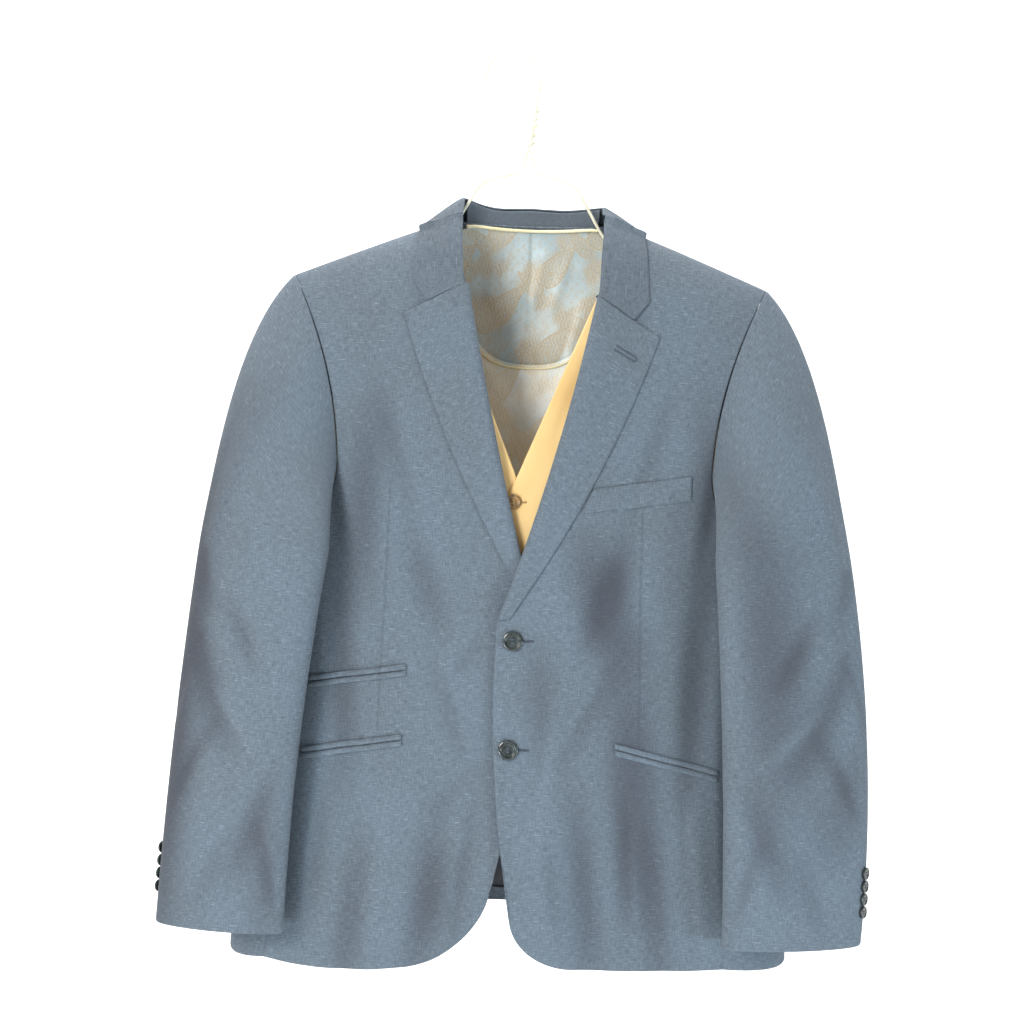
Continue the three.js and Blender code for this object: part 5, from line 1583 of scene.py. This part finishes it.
def thread_finish(name, dark, light):
    finish = Finish(name, Roughness=0.7, Sheen_Weight=0.2)
    place = finish.node("ShaderNodeTexCoord").outputs["Object"]
    twist = finish.noise(place, 1500.0, 2.0, 0.6)
    finish.set("Base Color", finish.blend(twist.ramp(0.3, 0.7), dark, light))
    finish.set("Normal", finish.bump(twist, 0.0001, 0.5))
    return finish.material


DARK_HORN = horn("dark_horn", srgb(22, 30, 32), srgb(52, 62, 62), 0.22)
BROWN_HORN = horn("brown_horn", srgb(96, 70, 34), srgb(176, 140, 84), 0.3)
NAVY_THREAD = thread_finish("navy_thread", srgb(48, 58, 72), srgb(84, 98, 114))
TAN_THREAD = thread_finish("tan_thread", srgb(178, 140, 84), srgb(226, 190, 132))

# %% Buttons


# Shares of a button's radius. The steps go inward: up to the rim, along it, and down to the middle.
DISC_STEPS = ((0.14, 0.05), (0.12, 0.0), (0.10, -0.13))
HOLE = dict(radius=0.1, reach=0.24)
SEWN_LIFT = 0.6


def turned_disc(radius):
    """A button lying flat, facing +Z, with its four holes cut."""
    thick = radius * 0.3
    bpy.ops.object.select_all(action="DESELECT")
    bpy.ops.mesh.primitive_cylinder_add(vertices=48, radius=radius, depth=thick, location=(0, 0, thick / 2))
    disc = bpy.context.object
    bpy.ops.object.transform_apply(location=True, rotation=False, scale=False)
    bpy.ops.object.mode_set(mode="EDIT")
    bpy.ops.mesh.select_mode(type="FACE")
    bpy.ops.mesh.select_all(action="DESELECT")
    bpy.ops.object.mode_set(mode="OBJECT")
    for face in disc.data.polygons:
        face.select = face.normal.z > 0.9
    bpy.ops.object.mode_set(mode="EDIT")
    for thick_share, depth_share in DISC_STEPS:
        bpy.ops.mesh.inset(thickness=radius * thick_share, depth=radius * depth_share)
    bpy.ops.object.mode_set(mode="OBJECT")
    soften = disc.modifiers.new("Soften", "BEVEL")
    soften.width = radius * 0.05
    soften.segments = 3
    soften.limit_method = "ANGLE"
    soften.angle_limit = math.radians(18)
    bpy.ops.object.modifier_apply(modifier=soften.name)
    for k in range(4):
        turn = math.radians(45 + 90 * k)
        reach = radius * HOLE["reach"]
        bpy.ops.mesh.primitive_cylinder_add(vertices=16, radius=radius * HOLE["radius"], depth=thick * 4,
                                            location=(reach * math.cos(turn), reach * math.sin(turn), 0))
        drill = bpy.context.object
        hole = disc.modifiers.new("Hole", "BOOLEAN")
        hole.operation = "DIFFERENCE"
        hole.solver = "EXACT"
        hole.object = drill
        bpy.context.view_layer.objects.active = disc
        bpy.ops.object.modifier_apply(modifier=hole.name)
        bpy.data.objects.remove(drill)
    return disc


def facing_turn(normal):
    """Columns of a frame whose Z is the normal and whose Y is as upright as it can be."""
    z = unit(np.asarray(normal, dtype=float))
    x = unit(np.cross([0.0, 0.0, 1.0], z)) if abs(z[2]) < 0.98 else np.array([1.0, 0.0, 0.0])
    return np.stack([x, np.cross(z, x), z], axis=1)


def set_on(piece, spot, normal, name):
    """Moves a mesh that lies at the origin, facing +Z, to a spot, facing along the normal."""
    turn = facing_turn(normal)
    flat = np.zeros(len(piece.data.vertices) * 3)
    piece.data.vertices.foreach_get("co", flat)
    placed = flat.reshape(-1, 3) @ turn.T + np.asarray(spot)
    piece.data.vertices.foreach_set("co", placed.reshape(-1) * MM)
    piece.data.update()
    piece.name = piece.data.name = name
    return piece


def copied(piece):
    twin = piece.copy()
    twin.data = piece.data.copy()
    bpy.context.collection.objects.link(twin)
    return twin


def stitches(name, spot, normal, radius, finish, height):
    """Two bars of two threads each, from hole to hole, as a joined mesh that dips at both ends."""
    turn = facing_turn(normal)
    runs = []
    for shift in (-1, 1):
        for lane in (-0.4, 0.4):
            t = np.linspace(-1, 1, 13)
            aside = np.full_like(t, shift * radius * 0.17 + lane * radius * 0.07)
            up = height + radius * 0.07 * (1 - t**4) - radius * 0.2 * np.abs(t) ** 6
            local = np.stack([t * radius * 0.19, aside, up], axis=-1)
            runs.append(tube(name, local @ turn.T + np.asarray(spot), radius * 0.042, finish, 8))
    return join(runs, name)


disc_models = {}


def button(node, spot, normal, radius, finish, thread):
    spot = in_frame(spot)
    lean = np.array([[math.cos(LEAN), 0, math.sin(LEAN)], [0, 1, 0], [-math.sin(LEAN), 0, math.cos(LEAN)]])
    normal = lean @ np.asarray(normal)
    if radius not in disc_models:
        disc_models[radius] = turned_disc(radius)
        disc_models[radius].hide_render = True
    piece = set_on(copied(disc_models[radius]), spot + normal * SEWN_LIFT, normal, f"made_{node}")
    piece.hide_render = False
    piece.data.materials.clear()
    piece.data.materials.append(finish)
    pick(piece)
    bpy.ops.object.shade_smooth_by_angle(angle=math.radians(40))
    cordlike(piece, node)
    sewn = stitches(f"thread_{node}", spot + normal * SEWN_LIFT, normal, radius, thread, radius * 0.24)
    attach(sewn, "root")
    return piece


FRONT_BUTTONS = ((-6, -425), (-7, -532))
FRONT_BUTTON_RADIUS = 10
WAISTCOAT_BUTTONS = dict(count=5, top=-288, pitch=62, radius=7.5, x=-10)
CUFF_BUTTONS = dict(count=4, bottom=-682, pitch=12.8, radius=6.2)
CUFF_BUTTON_AT = {1: 22, -1: -6}

for k, (x, z) in enumerate(FRONT_BUTTONS, 1):
    spot = on_front(np.float64(x), np.float64(z), lap(1, x))
    button(f"front_button_{k}", spot, body_normal(angle_at(x, z), z), FRONT_BUTTON_RADIUS, DARK_HORN,
           NAVY_THREAD)
for k in range(WAISTCOAT_BUTTONS["count"]):
    x, z = WAISTCOAT_BUTTONS["x"], WAISTCOAT_BUTTONS["top"] - k * WAISTCOAT_BUTTONS["pitch"]
    spot = on_front(np.float64(x), np.float64(z), WAISTCOAT["lift"], 0)
    button(f"waistcoat_button_{k + 1}", spot, body_normal(angle_at(x, z), z), WAISTCOAT_BUTTONS["radius"],
           BROWN_HORN, TAN_THREAD)
for side in SIDES:
    for k in range(CUFF_BUTTONS["count"]):
        z, turn = CUFF_BUTTONS["bottom"] + k * CUFF_BUTTONS["pitch"], CUFF_BUTTON_AT[side]
        spot = sleeve_section(side, turn, z)
        round_it = sleeve_section(side, turn + 2, z) - sleeve_section(side, turn - 2, z)
        normal = unit(np.cross(round_it, [0.0, 0.0, -1.0]) * side)
        button(f"cuff_button_{SIDES[side]}_{k + 1}", spot + normal * 0.3, normal, CUFF_BUTTONS["radius"],
               DARK_HORN, NAVY_THREAD)
for model in disc_models.values():
    bpy.data.objects.remove(model)
print("buttons made")

# %% [markdown]
# Buttonholes are worked by hand in thread: small stitches side by side round a slit. One stitch is a
# short bent tube, and a loop sets them along both sides and fans them round one end of the slit. A
# painted line would stay flat, while thread stands up from the cloth.

# %% Buttonholes


STITCH = dict(radius=0.29, pitch=0.62, rise=0.35)


def buttonhole(name, front, start, end, finish, half=1.15, slit=0.15):
    start, end = np.asarray(start, float), np.asarray(end, float)
    run = end - start
    length = np.hypot(*run)
    ahead = run / length
    aside = np.array([-ahead[1], ahead[0]])
    places = []
    for along_it in np.arange(0, length, STITCH["pitch"]):
        for way in (-1, 1):
            places.append((start + ahead * along_it, aside * way))
    for turn in np.linspace(-90, 90, 9)[1:-1]:
        a = math.radians(turn)
        places.append((end, aside * math.sin(a) + ahead * math.cos(a)))
    runs = []
    for middle, out in places:
        t = np.linspace(slit, 1, 5)
        flat = middle + out * (t * half)[:, None]
        x, z = flat[:, 0], flat[:, 1]
        points = front(x, z) + np.array([0, -STITCH["rise"], 0]) * np.sin(t * math.pi)[:, None]
        runs.append(tube(name, in_frame(points), STITCH["radius"], finish, 5))
    made = join(runs, name)
    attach(made, "root")
    return made


def left_front(x, z):
    return on_front(x, z, lap(1, x) + 0.35)


def left_lapel(x, z):
    (_, foot_z), (_, gorge_z) = FRONT_CUT[1]["break_at"], LAPEL[1]["gorge"]
    (_, low), (_, high) = LAPEL[1]["foot"], LAPEL[1]["tip"]
    line_x, _ = roll_line(1)(np.clip((z - foot_z) / (gorge_z - foot_z), 0, 1))
    outer = bowed(LAPEL[1]["foot"], LAPEL[1]["tip"], LAPEL[1]["belly"])
    edge, _ = outer(np.clip((z - low) / (high - low), 0, 1))
    width = np.maximum(edge - line_x, 1)
    return on_front(x, z, lap(1, x) + roll_height(x - line_x, width) + 0.7, LAPEL_CREASED)


def left_waistcoat(x, z):
    return on_front(x, z, waistcoat_lift(1, x) + 0.3, 0)


FRONT_BUTTONHOLE, WAISTCOAT_BUTTONHOLE = 20, 12
LAPEL_BUTTONHOLE = ((84.5, -133.5), (104.5, -144))

for k, (x, z) in enumerate(FRONT_BUTTONS, 1):
    buttonhole(f"front_buttonhole_{k}", left_front, (x, z), (x + FRONT_BUTTONHOLE, z), NAVY_THREAD)
buttonhole("lapel_buttonhole", left_lapel, *LAPEL_BUTTONHOLE, NAVY_THREAD, half=2.8, slit=0.55)
for k in range(WAISTCOAT_BUTTONS["count"]):
    x, z = WAISTCOAT_BUTTONS["x"], WAISTCOAT_BUTTONS["top"] - k * WAISTCOAT_BUTTONS["pitch"]
    buttonhole(f"waistcoat_buttonhole_{k + 1}", left_waistcoat, (x, z), (x + WAISTCOAT_BUTTONHOLE, z),
               TAN_THREAD)
print("buttonholes worked")

# %% [markdown]
# The hanger is bent from coated wire: a hook, a twisted neck and two arms that go into the shoulders.
# The hook and the arms follow the solids, and the twist is the arms' wire wound round the hook's foot.
# A curve with a bevel would do, but the same tube as for the pipings keeps every cord alike.

# %% Hanger
WIRE_RADIUS = 1.5
HOOK = dict(radius=28, end=184, low=-9, foot=(16.6, -99))
ARM_MIDDLE = -6
ARM_BENDS = table(
    "x z round",
    (2.6, 70, 2.6),
    (6, 48, 7),
    (47, 38.5, 14),
    (66, 5, 12),
    (82.5, -23, 18),
)
ARM_TIP = dict(x=222, under_ridge=17.5)
TWIST = dict(head=(23.5, -59), foot=(17.2, -96.5), turns=4.5, reach=1.9, radius=0.85)


def bent_line(corners, steps=10):
    """Straight runs between corners (x, z, round), each corner rounded by a short bend."""
    corners = [(np.array([x, 0.0, z]), bend) for x, z, bend in corners]
    places = [corners[0][0]]
    for (before, _), (here, bend), (after, _) in zip(corners, corners[1:], corners[2:]):
        start = here + unit(before - here) * bend
        end = here + unit(after - here) * bend
        for t in np.linspace(0, 1, steps):
            places.append(start * (1 - t) ** 2 + here * 2 * t * (1 - t) + end * t**2)
    places.append(corners[-1][0])
    return np.array(places)


def coated_wire():
    finish = Finish("coated_wire", Roughness=0.32, Coat_Weight=0.5, Coat_Roughness=0.15)
    place = finish.node("ShaderNodeTexCoord").outputs["Object"]
    cloud = finish.noise(place, 90.0, 3.0, 0.6)
    finish.set("Base Color", finish.blend(cloud.ramp(0.35, 0.7), srgb(231, 228, 208), srgb(216, 210, 186)))
    finish.set("Roughness", 0.28 + cloud * 0.15)
    finish.set("Normal", finish.bump(finish.noise(place, 420.0, 2.0, 0.5), 0.0002, 0.3))
    return finish.material


WIRE = coated_wire()


def hanger_hook():
    turns = np.radians(np.arange(HOOK["end"], HOOK["low"], -6))
    arc = np.stack([np.cos(turns), 0 * turns, np.sin(turns)], axis=-1) * HOOK["radius"]
    arc[:, 2] += WIRE_RADIUS - HOOK["radius"]
    x, z = HOOK["foot"]
    line = np.concatenate([arc, mix(arc[-1], np.array([x, 0.0, z]), np.linspace(0.08, 1, 16)[:, None])])
    return cordlike(tube("wire_hook", line, WIRE_RADIUS, WIRE, 14), "hanger_hook")


def hanger_arms():
    bends = [(row["x"], row["z"], row["round"]) for row in ARM_BENDS]
    bends.append((ARM_TIP["x"], float(ridge(ARM_TIP["x"])) - ARM_TIP["under_ridge"], 0))
    left, right = ([(ARM_MIDDLE + way * x, z, bend) for x, z, bend in bends] for way in (1, -1))
    points = in_frame(bent_line([*reversed(right), *left]))
    return cordlike(tube("wire_arms", points, WIRE_RADIUS, WIRE, 14), "hanger_arms")


def hanger_twist():
    """The end of the arms' wire, wound round the foot of the hook."""
    t = np.linspace(0, 1, 110)[:, None]
    (head_x, head_z), (foot_x, foot_z) = TWIST["head"], TWIST["foot"]
    centre = mix(np.array([head_x, 0.0, head_z]), np.array([foot_x, 0.0, foot_z]), t)
    ahead = unit(centre[-1] - centre[0])
    aside = np.cross(ahead, [0.0, 1.0, 0.0])
    turn = t * TWIST["turns"] * 2 * math.pi
    round_it = np.cos(turn) * aside + np.sin(turn) * np.array([0.0, 1.0, 0.0])
    line = centre + round_it * WIRE_RADIUS * TWIST["reach"]
    made = tube("wire_twist", line, WIRE_RADIUS * TWIST["radius"], WIRE, 10)
    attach(made, "root")
    return made


hanger_hook()
hanger_arms()
hanger_twist()

# %% [markdown]
# Floor, light and camera. A pale sweep is floor and wall in one, with a round bend between, so that no
# line shows behind the garment. The key light stands in front, a little to the left, at the height of
# the hook. Two weaker bluish lights stand low, one on each side, and one more light is for the
# wall alone. The camera looks level at the middle of the garment.

# %% Floor and light
lo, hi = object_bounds()
SWEEP = dict(drop=0.30, back=2.4, round=1.0, near=-7.0, top=3.5, half=7.0)


def sweep_profile():
    """Places (y, z) from the near edge of the floor, round the bend, to the top of the wall."""
    floor_z = lo[2] - SWEEP["drop"]
    centre = (SWEEP["back"] - SWEEP["round"], floor_z + SWEEP["round"])
    turns = np.radians(np.linspace(-90, 0, 25))
    bend = [(centre[0] + SWEEP["round"] * math.cos(a), centre[1] + SWEEP["round"] * math.sin(a))
            for a in turns]
    return np.array([(SWEEP["near"], floor_z), *bend, (SWEEP["back"], SWEEP["top"])])


profile = sweep_profile()
bpy.ops.object.select_all(action="DESELECT")
bpy.ops.mesh.primitive_grid_add(x_subdivisions=2, y_subdivisions=len(profile) - 1, size=1)
sweep = bpy.context.object
sweep.name = sweep.data.name = "studio_sweep"
across = np.linspace(-SWEEP["half"], SWEEP["half"], 3)
places = np.array([[(x, y, z) for x in across] for y, z in profile])
sweep.data.vertices.foreach_set("co", places.reshape(-1))
sweep.data.update()
bpy.ops.object.shade_smooth()
pale = Finish("studio_pale", Roughness=0.95)
pale.set("Base Color", (0.95, 0.95, 0.945, 1.0))
sweep.data.materials.append(pale.material)
sweep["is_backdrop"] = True


def soft_light(name, size, energy, place, aim, colour):
    data = bpy.data.lights.new(name, "AREA")
    data.shape = "DISK"
    data.size = size
    data.energy = energy
    data.color = colour
    light = bpy.data.objects.new(name, data)
    light.location = place
    light.rotation_euler = (Vector(aim) - Vector(place)).to_track_quat("-Z", "Y").to_euler()
    bpy.context.collection.objects.link(light)


AIM = (0, 0, -0.5)
soft_light("key", 0.9, 44, (-1.25, -2.25, 0.1), AIM, (1.0, 0.97, 0.92))
soft_light("low", 0.7, 24, (-0.7, -1.6, -1.3), (-0.1, 0, -0.9), (0.70, 0.88, 1.0))
soft_light("rim", 0.7, 18, (1.5, -1.1, -1.1), (0.3, 0, -0.85), (0.72, 0.89, 1.0))
soft_light("wall", 2.4, 90, (0.0, 0.7, 1.3), (0, 2.4, -0.4), (1.0, 1.0, 1.0))
world = bpy.data.worlds.new("studio")
bpy.context.scene.world = world
world.use_nodes = True
world.node_tree.nodes["Background"].inputs[0].default_value = (1.0, 0.985, 0.965, 1.0)
world.node_tree.nodes["Background"].inputs[1].default_value = 0.5

# %% Camera
CAMERA = dict(x=-0.00204, away=1.8, z=-0.4692, view=1.0445, sensor=36)
camera_data = bpy.data.cameras.new("camera")
camera = bpy.data.objects.new("camera", camera_data)
camera.location = (CAMERA["x"], -CAMERA["away"], CAMERA["z"])
camera.rotation_euler = (math.pi / 2, 0, 0)
camera_data.sensor_width = CAMERA["sensor"]
camera_data.lens = CAMERA["sensor"] / (CAMERA["view"] / CAMERA["away"])
bpy.context.collection.objects.link(camera)
bpy.context.scene.camera = camera
bpy.context.scene.view_settings.view_transform = "Standard"

# %% Size and finish
lo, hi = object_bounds()
print("visual box", [round(v, 4) for v in lo], [round(v, 4) for v in hi])
